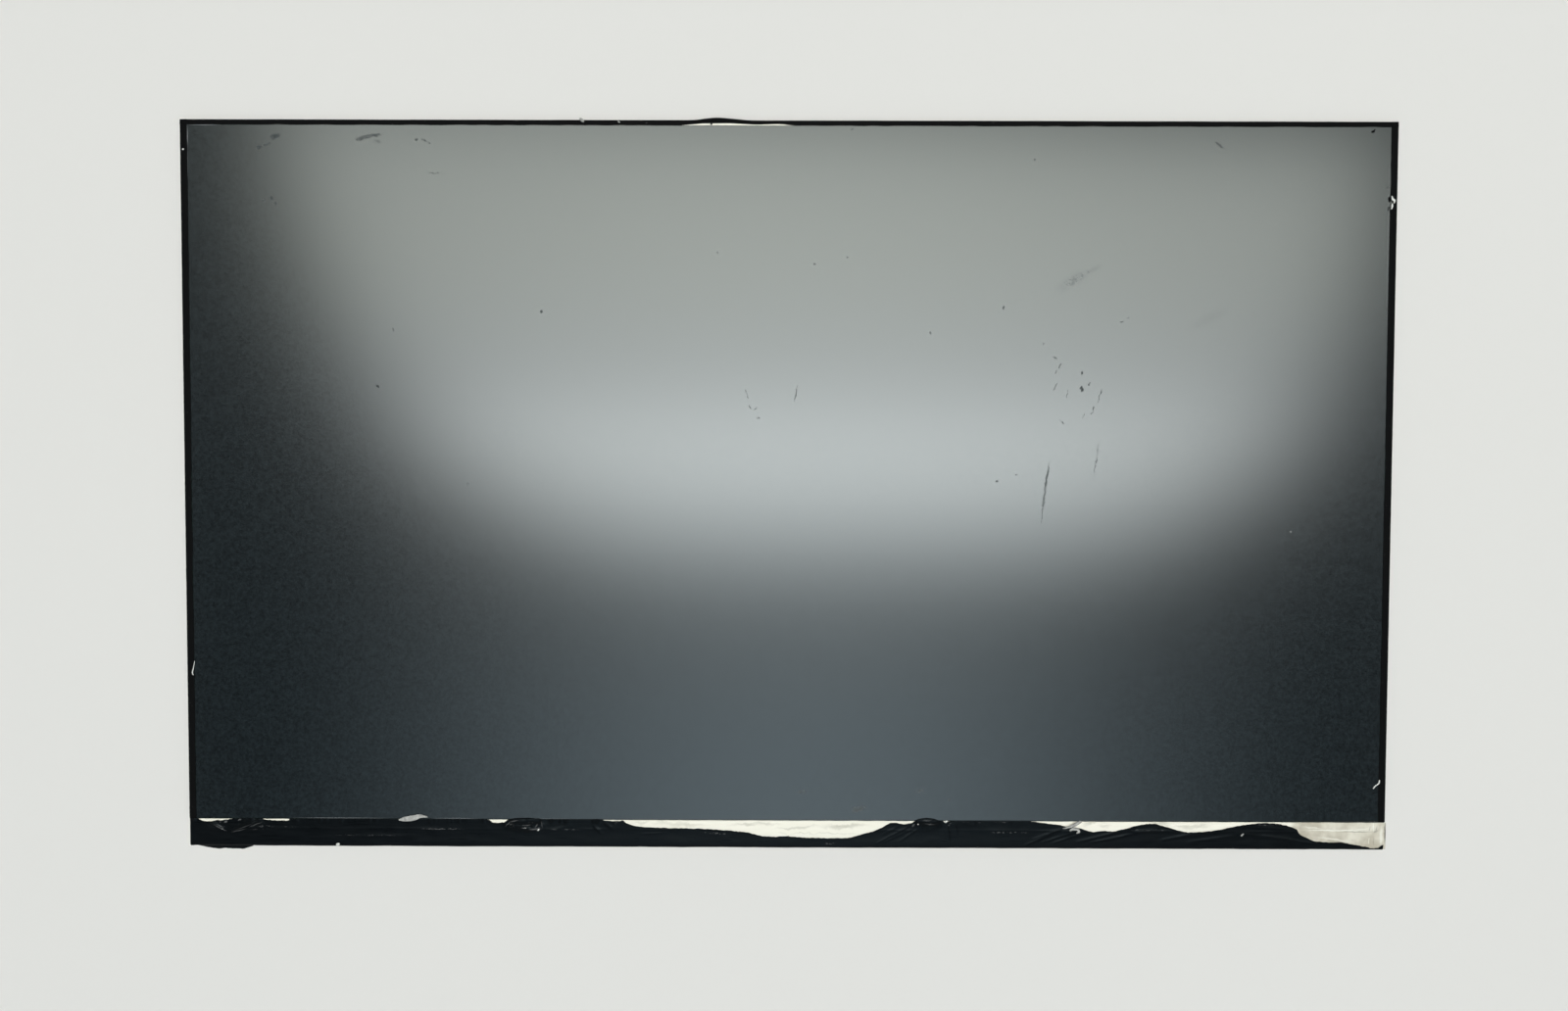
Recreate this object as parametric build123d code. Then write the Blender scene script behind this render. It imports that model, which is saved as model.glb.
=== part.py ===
"""Laptop display module, bare, lying on its back with the screen up.

Millimetres. The origin is the middle of the flat back face. +X is the screen's right, +Y its top and
+Z points out of the screen. Heights along the bottom edge are measured up from the bottom outline.
"""

import os

from build123d import *

# Outline and borders round the picture
PANEL_WIDTH = 300.3
PANEL_HEIGHT = 181.2
SIDE_BORDER = 3.27
TOP_BORDER = 3.2
MIXING_REACH = 3.4

# What the front shows: black rims and the taped strip below the front polariser
SIDE_RIM = 1.9
TOP_RIM = 1.4
BOTTOM_STRIP = 7.3
POLARISER_INSET = 0.1
LEDGE_REACH = 2.6

# Thicknesses of the chassis and the backlight stack, from the back
SHEET = 0.3
FIELD_STEP = 0.1
REFLECTOR = 0.08
LIGHT_GUIDE = 0.65
LOWER_DIFFUSER = 0.08
PRISM_SHEET = 0.11
UPPER_DIFFUSER = 0.08
RIM_ADHESIVE = 0.14

# Thicknesses of the glass cell and its polarisers
REAR_POLARISER = 0.12
ARRAY_GLASS = 0.4
CELL_GAP = 0.02
FILTER_GLASS = 0.4
FRONT_POLARISER = 0.2
POLARISER_CHAMFER = 0.06
SEAL_INSET = 0.5
SEAL_WIDTH = 0.8

# Chassis and moulded frame
FIELD_GAP = 0.6
BEND_FILLET = 0.2
BEAD_COUNT = 3
BEAD_WIDTH = 5.0
BEAD_END_MARGIN = 40.0
BEAD_CLEARANCE = 0.04
FRAME_WALL = 0.8
FRAME_CLEARANCE = 0.05
GUIDE_CLEARANCE = 0.15
WINDOW_MARGIN = 0.6
POLARISER_CLEARANCE = 0.1
SHELF_GAP = 0.02

# Light bar
LED_WIDTH = 2.6
LED_DEPTH = 0.9
LED_HEIGHT = 0.55
LED_PITCH = 6.1
LED_CLEARANCE = 0.05
LED_FLEX_OVERLAP = 2.0
SHEET_INSET = 1.0
TAIL_WIDTH = 8.0
TAIL_REACH = 1.5
TAIL_SLOPE = 0.8
TAIL_CLEARANCE = 0.15

# Control board, in the pocket behind the bottom strip
BOARD = 0.4
BOARD_ADHESIVE = 0.05
BOARD_CLEARANCE = 0.15
BOARD_END_MARGIN = 1.5
ADHESIVE_MARGIN = 0.6
TIMING_CHIP = 4.2
TIMING_CHIP_HEIGHT = 0.6
CHIP_CLEARANCE = 0.35
SMALL_CHIP = 3.0
SMALL_CHIP_HEIGHT = 0.55
MEMORY_CHIP_WIDTH = 2.0
INDUCTOR = 2.5
INDUCTOR_HEIGHT = 0.75
CAPACITOR_LENGTH = 1.0
CAPACITOR_WIDTH = 0.5
CAPACITOR_HEIGHT = 0.5
RESISTOR_LENGTH = 0.6
RESISTOR_WIDTH = 0.3
RESISTOR_HEIGHT = 0.23
PART_SPACING = 1.6
ROW_SPACING = 2.6
TIMING_COLUMNS = 5
POWER_COLUMNS = 3
RESISTOR_COUNT = 7

# Driver films and chips
FILM_COUNT = 4
FILM_WIDTH = 32.0
DRIVER_FILM = 0.05
LEDGE_BOND = 1.6
DRIVER_CHIP_LENGTH = 18.0
DRIVER_CHIP_WIDTH = 1.2
DRIVER_CHIP = 0.25
POCKET_CLEARANCE = 0.1
RAIL_CLEARANCE = 0.1

# Signal connector
CONNECTOR_WIDTH = 22.0
CONNECTOR_DEPTH = 4.2
CONNECTOR_RECESS = 0.03
CONNECTOR_WALL = 0.1
CONNECTOR_BLOCK = 1.3
CONNECTOR_SET_BACK = 0.2
TONGUE = 0.2
TONGUE_SET_BACK = 0.4
TONGUE_SIDE_GAP = 0.5
CONTACT_COUNT = 30
CONTACT_WIDTH = 0.25
CONTACT = 0.05
CONTACT_PITCH = 0.6
TAPE_CUT_CLEARANCE = 1.5

# Tapes and films
TAPE = 0.06
TAPE_GAP = 0.1
TAPE_FLAP = 4.0
WHITE_FILM = 0.06
BLACK_FILM = 0.06
FILM_GAP = 0.05
BACK_FLAP = 1.35
FLAP_BOND_MARGIN = 0.15
WHITE_OVERHANG = 0.35
SHRED = 0.06
FOLD_HEIGHT = 0.4
FOLD_CHAMFER = 0.12

# Torn edge of the black film: place along the bottom, height above the bottom outline.
# The first tears are measured from the left end, the next from the middle, the last from the right end.
LEFT_TEARS = [
    [(1.9, 7.3), (4.2, 6.6), (8.4, 6.9), (10.9, 7.3)],
    [(18.0, 7.3), (20.3, 6.8), (22.3, 6.7), (23.9, 6.8), (24.1, 7.3)],
    [(74.3, 7.3), (75.7, 7.0), (76.4, 6.2), (79.1, 6.2), (80.1, 6.9), (80.6, 7.3)],
]
MIDDLE_TEARS = [
    [(-46.1, 7.3), (-44.0, 7.0), (-41.7, 7.3)],
    [(-41.2, 7.3), (-40.2, 6.0), (-35.2, 5.1), (-21.7, 4.8), (-10.5, 4.0), (-5.8, 3.0), (0.1, 3.0),
     (6.8, 2.6), (13.4, 2.5), (20.4, 3.9), (24.1, 5.3), (26.6, 6.5), (29.5, 6.15), (31.7, 6.65),
     (32.4, 7.3)],
]
RIGHT_TEAR = [
    (-92.0, 7.3), (-84.0, 6.35), (-79.2, 5.7), (-72.7, 4.3), (-70.3, 4.7), (-68.8, 4.5), (-61.8, 6.0),
    (-57.8, 6.45), (-54.4, 5.5), (-48.9, 4.35), (-43.7, 4.65), (-36.5, 6.0), (-30.1, 6.75), (-24.7, 6.2),
    (-22.0, 5.15), (-19.7, 3.15), (-16.5, 2.1), (-11.1, 1.9), (-4.9, 0.55), (0.5, 0.2),
]

# Ragged film that hangs past the outline at the lower left, from the left end
RAGGED_HEM = [
    (0.4, 0.3), (3.2, -0.35), (6.6, -1.0), (9.7, -0.85), (13.0, -1.05), (15.1, -0.4), (16.6, 0.3),
]

# Lifted stretch of the top tape: place from the middle, how far each edge moves out
LIFT_OUTER = [(-22.5, 0.0), (-20.3, 0.4), (-17.7, 0.63), (-13.5, 0.35), (-9.7, 0.0)]
LIFT_INNER = [(-27.1, 0.0), (-20.5, 0.75), (-13.3, 0.72), (-8.0, 0.4), (-2.5, 0.5), (1.6, 0.0)]

# Chip in the right tape: distance below the top outline, length and depth of the bite
CHIP_DROP = 20.0
CHIP_LENGTH = 2.9
CHIP_DEPTH = 0.75

# Shreds and fold by their outlines: the first from the left end, the rest from the middle
FRONT_SHRED = [(51.9, 7.0), (53.2, 7.9), (57.6, 8.4), (59.1, 7.7), (54.7, 6.5)]
CURLED_SHRED = [(69.9, 5.35), (71.2, 5.9), (73.1, 7.1), (73.9, 6.8), (72.0, 5.5), (70.6, 5.0)]
FILM_FOLD = [(32.6, 7.0), (33.2, 7.6), (35.7, 7.8), (37.4, 7.6), (38.1, 7.0)]

# Places worked out from the sizes: plan
half_width = PANEL_WIDTH / 2
half_height = PANEL_HEIGHT / 2
outline_bottom = -half_height
body_x = half_width - TAPE
body_top = half_height - TAPE
polariser_x = half_width - SIDE_RIM
polariser_top = half_height - TOP_RIM
polariser_bottom = outline_bottom + BOTTOM_STRIP
filter_end = polariser_bottom - POLARISER_INSET
ledge_end = filter_end - LEDGE_REACH
film_top = filter_end - FILM_GAP

# Places worked out from the sizes: levels
border_back = FIELD_STEP
border_face = border_back + SHEET
guide_back = border_face + REFLECTOR
guide_face = guide_back + LIGHT_GUIDE
lower_prism_back = guide_face + LOWER_DIFFUSER
upper_prism_back = lower_prism_back + PRISM_SHEET
upper_diffuser_back = upper_prism_back + PRISM_SHEET
stack_face = upper_diffuser_back + UPPER_DIFFUSER
array_back = stack_face + RIM_ADHESIVE
array_face = array_back + ARRAY_GLASS
filter_back = array_face + CELL_GAP
filter_face = filter_back + FILTER_GLASS
screen_face = filter_face + FRONT_POLARISER
shelf_face = array_back - SHELF_GAP
shelf_back = shelf_face - SHEET
board_face = shelf_back - BOARD_ADHESIVE
board_back = board_face - BOARD

# Bend of the driver films and tapes round the bottom edge
bend_level = (array_face + board_back) / 2
bend_radius = (array_face - board_back) / 2
white_radius = bend_radius + DRIVER_FILM
black_radius = white_radius + WHITE_FILM
wrap_radius = black_radius + BLACK_FILM
stack_end = outline_bottom + wrap_radius

# From the bottom edge up to the picture: board, chassis step, frame rail, light bar, light guide
board_width = BACK_FLAP + TIMING_CHIP + 2 * CHIP_CLEARANCE
board_top = stack_end + board_width
step_outside = board_top + BOARD_CLEARANCE
step_inside = step_outside + SHEET
rail_outside = step_inside + FRAME_CLEARANCE
rail_inside = rail_outside + FRAME_WALL
led_back = rail_inside + LED_CLEARANCE
led_front = led_back + LED_DEPTH
guide_bottom = led_front + LED_CLEARANCE
picture_bottom = guide_bottom + MIXING_REACH
picture_top = half_height - TOP_BORDER
picture_x = half_width - SIDE_BORDER
frame_x = body_x - SHEET - FRAME_CLEARANCE
frame_top = body_top - SHEET - FRAME_CLEARANCE
guide_x = frame_x - FRAME_WALL - GUIDE_CLEARANCE
guide_top = frame_top - FRAME_WALL - GUIDE_CLEARANCE
window_x = picture_x + WINDOW_MARGIN
window_top = picture_top + WINDOW_MARGIN
window_bottom = picture_bottom - WINDOW_MARGIN

# Places along the board: driver films and the free stretches between them
film_pitch = 2 * picture_x / FILM_COUNT
film_places = [(i - (FILM_COUNT - 1) / 2) * film_pitch for i in range(FILM_COUNT)]
connector_x = -film_pitch
power_x = film_pitch
tail_x = power_x + (POWER_COLUMNS + 1) * PART_SPACING + TAIL_WIDTH / 2
board_half = film_places[-1] + FILM_WIDTH / 2 + BOARD_END_MARGIN
parts_y = stack_end + BACK_FLAP + CHIP_CLEARANCE + TIMING_CHIP / 2
timing_reach = TIMING_CHIP / 2 + (TIMING_COLUMNS + 1) * PART_SPACING
memory_x = timing_reach + MEMORY_CHIP_WIDTH / 2
power_chip_x = -timing_reach - SMALL_CHIP / 2
inductor_pitch = INDUCTOR + CHIP_CLEARANCE
backlight_x = power_x - 2 * inductor_pitch - SMALL_CHIP / 2


def slab(x0, x1, y0, y1, z0, z1):
    """Block between two corners."""
    return Pos(x0, y0, z0) * Box(x1 - x0, y1 - y0, z1 - z0, align=(Align.MIN, Align.MIN, Align.MIN))


def even_slab(x, y0, y1, z0, z1):
    """Block that reaches as far left as right."""
    return slab(-x, x, y0, y1, z0, z1)


def on_board(x, y, length, width, height):
    """Block that stands on the board's back face, centred on a place."""
    return slab(x - length / 2, x + length / 2, y - width / 2, y + width / 2, board_back - height, board_back)


def plan_solid(edges, z0, z1):
    """Upright solid on a closed plan outline."""
    return Pos(0, 0, z0) * extrude(make_face(edges), amount=z1 - z0, dir=(0, 0, 1))


def section_solid(edges, x0, x1):
    """Solid that carries a section, drawn as (y, z), from x0 to x1."""
    face = make_face([Plane.YZ * edge for edge in edges])
    return Pos(x0, 0, 0) * extrude(face, amount=x1 - x0, dir=(1, 0, 0))


def from_place(place, points):
    """Edge points (along, height above the bottom outline) as plan points."""
    return [(place + along, outline_bottom + height) for along, height in points]


def wrapped_sheet(x0, x1, radius, thickness, front_end, back_reach):
    """Film that lies on the front ledge, turns half round the bottom edge and ends on the back."""
    outer = radius + thickness
    back_end = stack_end + back_reach
    inner_front = (stack_end, bend_level + radius)
    inner_back = (stack_end, bend_level - radius)
    outer_front = (stack_end, bend_level + outer)
    outer_back = (stack_end, bend_level - outer)
    section = [
        Line((front_end, bend_level + radius), inner_front),
        ThreePointArc(inner_front, (stack_end - radius, bend_level), inner_back),
        Polyline(inner_back, (back_end, bend_level - radius), (back_end, bend_level - outer), outer_back),
        ThreePointArc(outer_back, (stack_end - outer, bend_level), outer_front),
        Polyline(outer_front, (front_end, bend_level + outer), (front_end, bend_level + radius)),
    ]
    return section_solid(section, x0, x1)


def rear_chassis():
    """Folded sheet: bordered back with stiffening beads, side and top walls, step and shelf for the board."""
    margin = TAPE_FLAP + FIELD_GAP
    field_x = body_x - margin
    field_top = body_top - margin
    field_bottom = step_outside + margin
    block = even_slab(body_x, stack_end, body_top, border_back, shelf_face)
    back_edges = block.faces().sort_by(Axis.Z)[0].edges()
    folds = back_edges.filter_by(Axis.Y) + back_edges.filter_by(Axis.X).sort_by(Axis.Y)[-1:]
    shell = fillet(folds, BEND_FILLET)
    shell -= even_slab(body_x - SHEET, step_inside, body_top - SHEET, border_face, shelf_face)
    shell -= even_slab(body_x - SHEET, stack_end, step_outside, border_back, shelf_back)
    shell -= even_slab(body_x, stack_end, stack_end + BACK_FLAP + FILM_GAP, border_back, shelf_back)
    shell -= even_slab(field_x - SHEET, field_bottom + SHEET, field_top - SHEET, SHEET, border_face)
    shell += even_slab(field_x, field_bottom, field_top, 0, border_back)
    bead_length = 2 * (field_x - BEAD_END_MARGIN)
    bead = extrude(SlotOverall(bead_length, BEAD_WIDTH), amount=FIELD_STEP - BEAD_CLEARANCE)
    bead_pitch = (field_top - field_bottom) / BEAD_COUNT
    for i in range(BEAD_COUNT):
        place = Pos(0, field_bottom + (i + 0.5) * bead_pitch, 0)
        shell -= place * bead
        shell += place * Pos(0, 0, SHEET) * bead
    return shell - tail_opening(border_face, step_outside, step_inside)


def tail_opening(z0, y0, y1):
    """Space for the light bar's tail through a wall."""
    half = TAIL_WIDTH / 2 + TAIL_CLEARANCE
    return slab(tail_x - half, tail_x + half, y0, y1, z0, guide_back + TAIL_CLEARANCE)


def mould_frame():
    """Moulded ring that locates the light guide and carries the glass."""
    ring = even_slab(frame_x, rail_outside, frame_top, border_face, stack_face)
    ring -= even_slab(
        frame_x - FRAME_WALL, rail_inside, frame_top - FRAME_WALL, border_face, stack_face
    )
    return ring - tail_opening(border_face, rail_outside, rail_inside)


def reflector_sheet():
    """White sheet behind the light guide, stopping short of the light bar's flex."""
    start = guide_bottom + LED_FLEX_OVERLAP + LED_CLEARANCE
    return even_slab(guide_x, start, guide_top, border_face, guide_back)


def light_guide_plate():
    """Clear plate that spreads the light from its bottom edge."""
    return even_slab(guide_x, guide_bottom, guide_top, guide_back, guide_face)


def backlight_sheet(z0, z1):
    """One sheet of the stack on the light guide."""
    return even_slab(guide_x, guide_bottom + SHEET_INSET, guide_top, z0, z1)


def led_flex():
    """Flex strip under the lamps, with a tail that steps up to the board's back face."""
    strip = even_slab(picture_x, led_back, guide_bottom + LED_FLEX_OVERLAP, border_face, guide_back)
    foot = step_outside - BOARD_CLEARANCE
    landing = foot - TAIL_SLOPE
    end = landing - TAIL_REACH
    section = Polyline(
        (led_back, border_face), (foot, border_face), (landing, board_back - REFLECTOR),
        (end, board_back - REFLECTOR), (end, board_back), (landing, board_back), (foot, guide_back),
        (led_back, guide_back), (led_back, border_face),
    )
    return strip + section_solid([section], tail_x - TAIL_WIDTH / 2, tail_x + TAIL_WIDTH / 2)


def leds():
    """Row of side-emitting lamps on the flex."""
    count = int(2 * picture_x / LED_PITCH)
    places = [(i - (count - 1) / 2) * LED_PITCH for i in range(count)]
    return Compound([
        slab(x - LED_WIDTH / 2, x + LED_WIDTH / 2, led_back, led_front, guide_back, guide_back + LED_HEIGHT)
        for x in places
    ])


def rim_adhesive():
    """Adhesive frame that holds the glass on the moulded frame and shuts light in."""
    ring = even_slab(frame_x, rail_outside, frame_top, stack_face, array_back)
    return ring - even_slab(window_x, window_bottom, window_top, stack_face, array_back)


def rear_polariser():
    """Polariser behind the cell, inside the adhesive frame's window."""
    gap = POLARISER_CLEARANCE
    return even_slab(
        window_x - gap, window_bottom + gap, window_top - gap, array_back - REAR_POLARISER, array_back
    )


def array_glass():
    """Rear glass of the cell, with the ledge that the driver films bond to."""
    return even_slab(body_x, ledge_end, body_top, array_back, array_face)


def cell_outline(inset, z0, z1):
    """Block over the cell, set in from the front glass's edge."""
    return even_slab(body_x - inset, filter_end + inset, body_top - inset, z0, z1)


def cell_seal():
    """Seal round the liquid crystal."""
    outer = cell_outline(SEAL_INSET, array_face, filter_back)
    return outer - cell_outline(SEAL_INSET + SEAL_WIDTH, array_face, filter_back)


def liquid_crystal_layer():
    """Fill between the two glasses, inside the seal."""
    return cell_outline(SEAL_INSET + SEAL_WIDTH, array_face, filter_back)


def colour_filter_glass():
    """Front glass of the cell."""
    return cell_outline(0, filter_back, filter_face)


def front_polariser():
    """Matte film that is the screen's front, with its cut edge broken."""
    film = even_slab(polariser_x, polariser_bottom, polariser_top, filter_face, screen_face)
    return chamfer(film.faces().sort_by(Axis.Z)[-1].edges(), POLARISER_CHAMFER)


def driver_film(place):
    """Driver film from the glass ledge round the bottom edge to the board."""
    half = FILM_WIDTH / 2
    reach = BACK_FLAP - FLAP_BOND_MARGIN
    return wrapped_sheet(place - half, place + half, bend_radius, DRIVER_FILM, ledge_end + LEDGE_BOND, reach)


def chip_block(place, gap):
    """Block of a driver chip under its film, grown by a gap."""
    length = DRIVER_CHIP_LENGTH / 2 + gap
    width = DRIVER_CHIP_WIDTH / 2 + gap
    middle = (ledge_end - RAIL_CLEARANCE + stack_end) / 2
    back = array_face - DRIVER_CHIP - gap
    return slab(place - length, place + length, middle - width, middle + width, back, array_face)


def ledge_rail():
    """Moulded strip on the shelf below the glass, with pockets for the driver chips."""
    rail = even_slab(body_x, stack_end, ledge_end - RAIL_CLEARANCE, shelf_face, array_face)
    for place in film_places:
        rail -= chip_block(place, POCKET_CLEARANCE)
    return rail


def control_board():
    """Circuit board in the pocket behind the bottom strip."""
    return even_slab(board_half, stack_end, board_top, board_back, board_face)


def board_adhesive():
    """Adhesive strip between the board and the chassis shelf."""
    gap = ADHESIVE_MARGIN
    return even_slab(board_half - gap, stack_end + gap, board_top - gap, board_face, shelf_back)


def capacitors():
    """Two rows of capacitors beside the timing chip, by the power parts and by the connector."""
    steps = [PART_SPACING * i for i in range(1, TIMING_COLUMNS + 1)]
    beside_timing = [side * (TIMING_CHIP / 2 + step) for side in (-1, 1) for step in steps]
    by_power = [power_x + step for step in steps[:POWER_COLUMNS]]
    by_connector = [connector_x + CONNECTOR_WIDTH / 2 + step for step in steps[:POWER_COLUMNS]]
    return Compound([
        on_board(x, parts_y + row * ROW_SPACING / 2, CAPACITOR_WIDTH, CAPACITOR_LENGTH, CAPACITOR_HEIGHT)
        for x in beside_timing + by_power + by_connector
        for row in (-1, 1)
    ])


def resistors():
    """Short rows of resistors behind each driver film."""
    steps = [PART_SPACING * (i - (RESISTOR_COUNT - 1) / 2) for i in range(RESISTOR_COUNT)]
    return Compound([
        on_board(place + step, parts_y, RESISTOR_WIDTH, RESISTOR_LENGTH, RESISTOR_HEIGHT)
        for place in film_places
        for step in steps
    ])


def inductors():
    """Pair of power inductors."""
    return Compound([
        on_board(power_x - (i + 0.5) * inductor_pitch, parts_y, INDUCTOR, INDUCTOR, INDUCTOR_HEIGHT)
        for i in (0, 1)
    ])


def connector_block(inset, y0, y1):
    """Block inside the connector's outline, set in from its sides and from both faces."""
    half = CONNECTOR_WIDTH / 2 - inset
    return slab(
        connector_x - half, connector_x + half, stack_end + y0, stack_end + y1, CONNECTOR_RECESS + inset,
        board_back - inset,
    )


def connector_shell():
    """Thin metal sleeve of the connector, open towards the bottom edge."""
    sleeve = connector_block(0, CONNECTOR_SET_BACK, CONNECTOR_DEPTH)
    return sleeve - connector_block(CONNECTOR_WALL, CONNECTOR_SET_BACK, CONNECTOR_DEPTH)


def tongue_level():
    """Face of the tongue that carries the contacts."""
    return (CONNECTOR_RECESS + board_back) / 2


def connector_body():
    """Moulded block at the back of the sleeve with a thin tongue in the mouth."""
    block = connector_block(CONNECTOR_WALL, CONNECTOR_DEPTH - CONNECTOR_BLOCK, CONNECTOR_DEPTH)
    half = CONNECTOR_WIDTH / 2 - CONNECTOR_WALL - TONGUE_SIDE_GAP
    tongue = slab(
        connector_x - half, connector_x + half, stack_end + TONGUE_SET_BACK,
        stack_end + CONNECTOR_DEPTH - CONNECTOR_BLOCK, tongue_level(), tongue_level() + TONGUE,
    )
    return block + tongue


def connector_contacts():
    """Row of contact strips on the tongue."""
    places = [connector_x + (i - (CONTACT_COUNT - 1) / 2) * CONTACT_PITCH for i in range(CONTACT_COUNT)]
    return Compound([
        slab(
            x - CONTACT_WIDTH / 2, x + CONTACT_WIDTH / 2, stack_end + TONGUE_SET_BACK,
            stack_end + CONNECTOR_DEPTH - CONNECTOR_BLOCK, tongue_level() - CONTACT, tongue_level(),
        )
        for x in places
    ])


def side_edge_tape():
    """Tape folded over the right edge: lip on the glass, wall, and flap on the back."""
    inner = polariser_x + TAPE_GAP
    flap_inner = half_width - TAPE_FLAP
    flap_top = half_height - TAPE_FLAP
    lip = slab(inner, body_x, filter_end, polariser_top + TAPE_GAP, filter_face, filter_face + TAPE)
    wall = slab(body_x, half_width, filter_end, body_top, border_back - TAPE, filter_face + TAPE)
    flap = slab(flap_inner, body_x, filter_end, flap_top, border_back - TAPE, border_back)
    return lip + wall + flap


def right_edge_tape():
    """Right tape, with a bite out of its lip where the edge is chipped."""
    bite_y = half_height - CHIP_DROP
    inner = polariser_x + TAPE_GAP
    bite = [
        ThreePointArc(
            (inner, bite_y + CHIP_LENGTH / 2), (inner + CHIP_DEPTH, bite_y), (inner, bite_y - CHIP_LENGTH / 2)
        ),
        Line((inner, bite_y - CHIP_LENGTH / 2), (inner, bite_y + CHIP_LENGTH / 2)),
    ]
    return side_edge_tape() - plan_solid(bite, filter_face, filter_face + TAPE)


def lifted_edge(level, lift):
    """Straight top edge at a level with the lifted stretch as a smooth bulge."""
    bulge = [(x, level + rise) for x, rise in lift]
    return [
        Line((-body_x, level), bulge[0]),
        Spline(*bulge, tangents=[(1, 0), (1, 0)]),
        Line(bulge[-1], (body_x, level)),
    ]


def band(lower, upper):
    """Closed plan outline between two edges that both run across the whole width."""
    ends = [Line(low @ place, high @ place) for low, high, place in (
        (lower[0], upper[0], 0),
        (lower[-1], upper[-1], 1),
    )]
    return lower + upper + ends


def top_edge_tape():
    """Top tape, with its wall and lip bulged out along the lifted stretch."""
    lip_inner = lifted_edge(polariser_top + TAPE_GAP, LIFT_INNER)
    wall_inner = lifted_edge(body_top, LIFT_OUTER)
    wall_outer = lifted_edge(half_height, LIFT_OUTER)
    lip = plan_solid(band(lip_inner, wall_outer), filter_face, filter_face + TAPE)
    wall = plan_solid(band(wall_inner, wall_outer), border_back - TAPE, filter_face + TAPE)
    flap = even_slab(body_x, half_height - TAPE_FLAP, body_top, border_back - TAPE, border_back)
    return lip + wall + flap


def top_white_film():
    """White layer that shows between the front polariser and the lifted tape."""
    level = polariser_top + TAPE_GAP
    lifted = [(x, level + rise) for x, rise in LIFT_INNER]
    sliver = [Spline(*lifted, tangents=[(1, 0), (1, 0)]), Line(lifted[-1], lifted[0])]
    return plan_solid(sliver, filter_face, filter_face + TAPE)


def connector_cut():
    """Space that the bottom films leave free at the connector's mouth."""
    half = CONNECTOR_WIDTH / 2 + TAPE_CUT_CLEARANCE
    return slab(
        connector_x - half, connector_x + half, outline_bottom, stack_end + BACK_FLAP, 0, board_back
    )


def bottom_white_film():
    """Cream film over the bottom strip, turned round the bottom edge."""
    right_end = half_width + WHITE_OVERHANG
    film = wrapped_sheet(-half_width, right_end, white_radius, WHITE_FILM, film_top, BACK_FLAP)
    return film - connector_cut()


def bare_patch(points):
    """Upright block over a stretch where the black film is torn off, down to its torn edge."""
    above = film_top + BLACK_FILM
    lid = Polyline(points[-1], (points[-1][0], above), (points[0][0], above), points[0])
    return plan_solid([Spline(*points), lid], bend_level, screen_face)


def bottom_black_film():
    """Black film over the cream one, torn off in patches and ragged at the lower left."""
    film = wrapped_sheet(-half_width, half_width, black_radius, BLACK_FILM, film_top, BACK_FLAP)
    tears = [from_place(-half_width, points) for points in LEFT_TEARS]
    tears += [from_place(0, points) for points in MIDDLE_TEARS]
    tears += [from_place(half_width, RIGHT_TEAR)]
    for points in tears:
        film -= bare_patch(points)
    hem = from_place(-half_width, RAGGED_HEM)
    shelf = Polyline(hem[-1], (hem[-1][0], stack_end), (hem[0][0], stack_end), hem[0])
    flap_level = bend_level - wrap_radius
    film += plan_solid([Spline(*hem), shelf], flap_level, flap_level + BLACK_FILM)
    return film - connector_cut()


def film_scrap(points, level):
    """Flat scrap of film with a smooth outline, lying at a level."""
    return plan_solid([Spline(*points, periodic=True)], level, level + SHRED)


def black_film_fold():
    """Crumpled bit of black film folded up onto the front's lower edge."""
    outline = [Spline(*from_place(0, FILM_FOLD), periodic=True)]
    lump = plan_solid(outline, screen_face, screen_face + FOLD_HEIGHT)
    return chamfer(lump.faces().sort_by(Axis.Z)[-1].edges(), FOLD_CHAMFER)


def grey_film_shreds():
    """One shred across the front's lower edge and one curled on the cream film."""
    front = film_scrap(from_place(-half_width, FRONT_SHRED), screen_face)
    curled = film_scrap(from_place(0, CURLED_SHRED), bend_level + wrap_radius)
    return Compound([front, curled])


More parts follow.
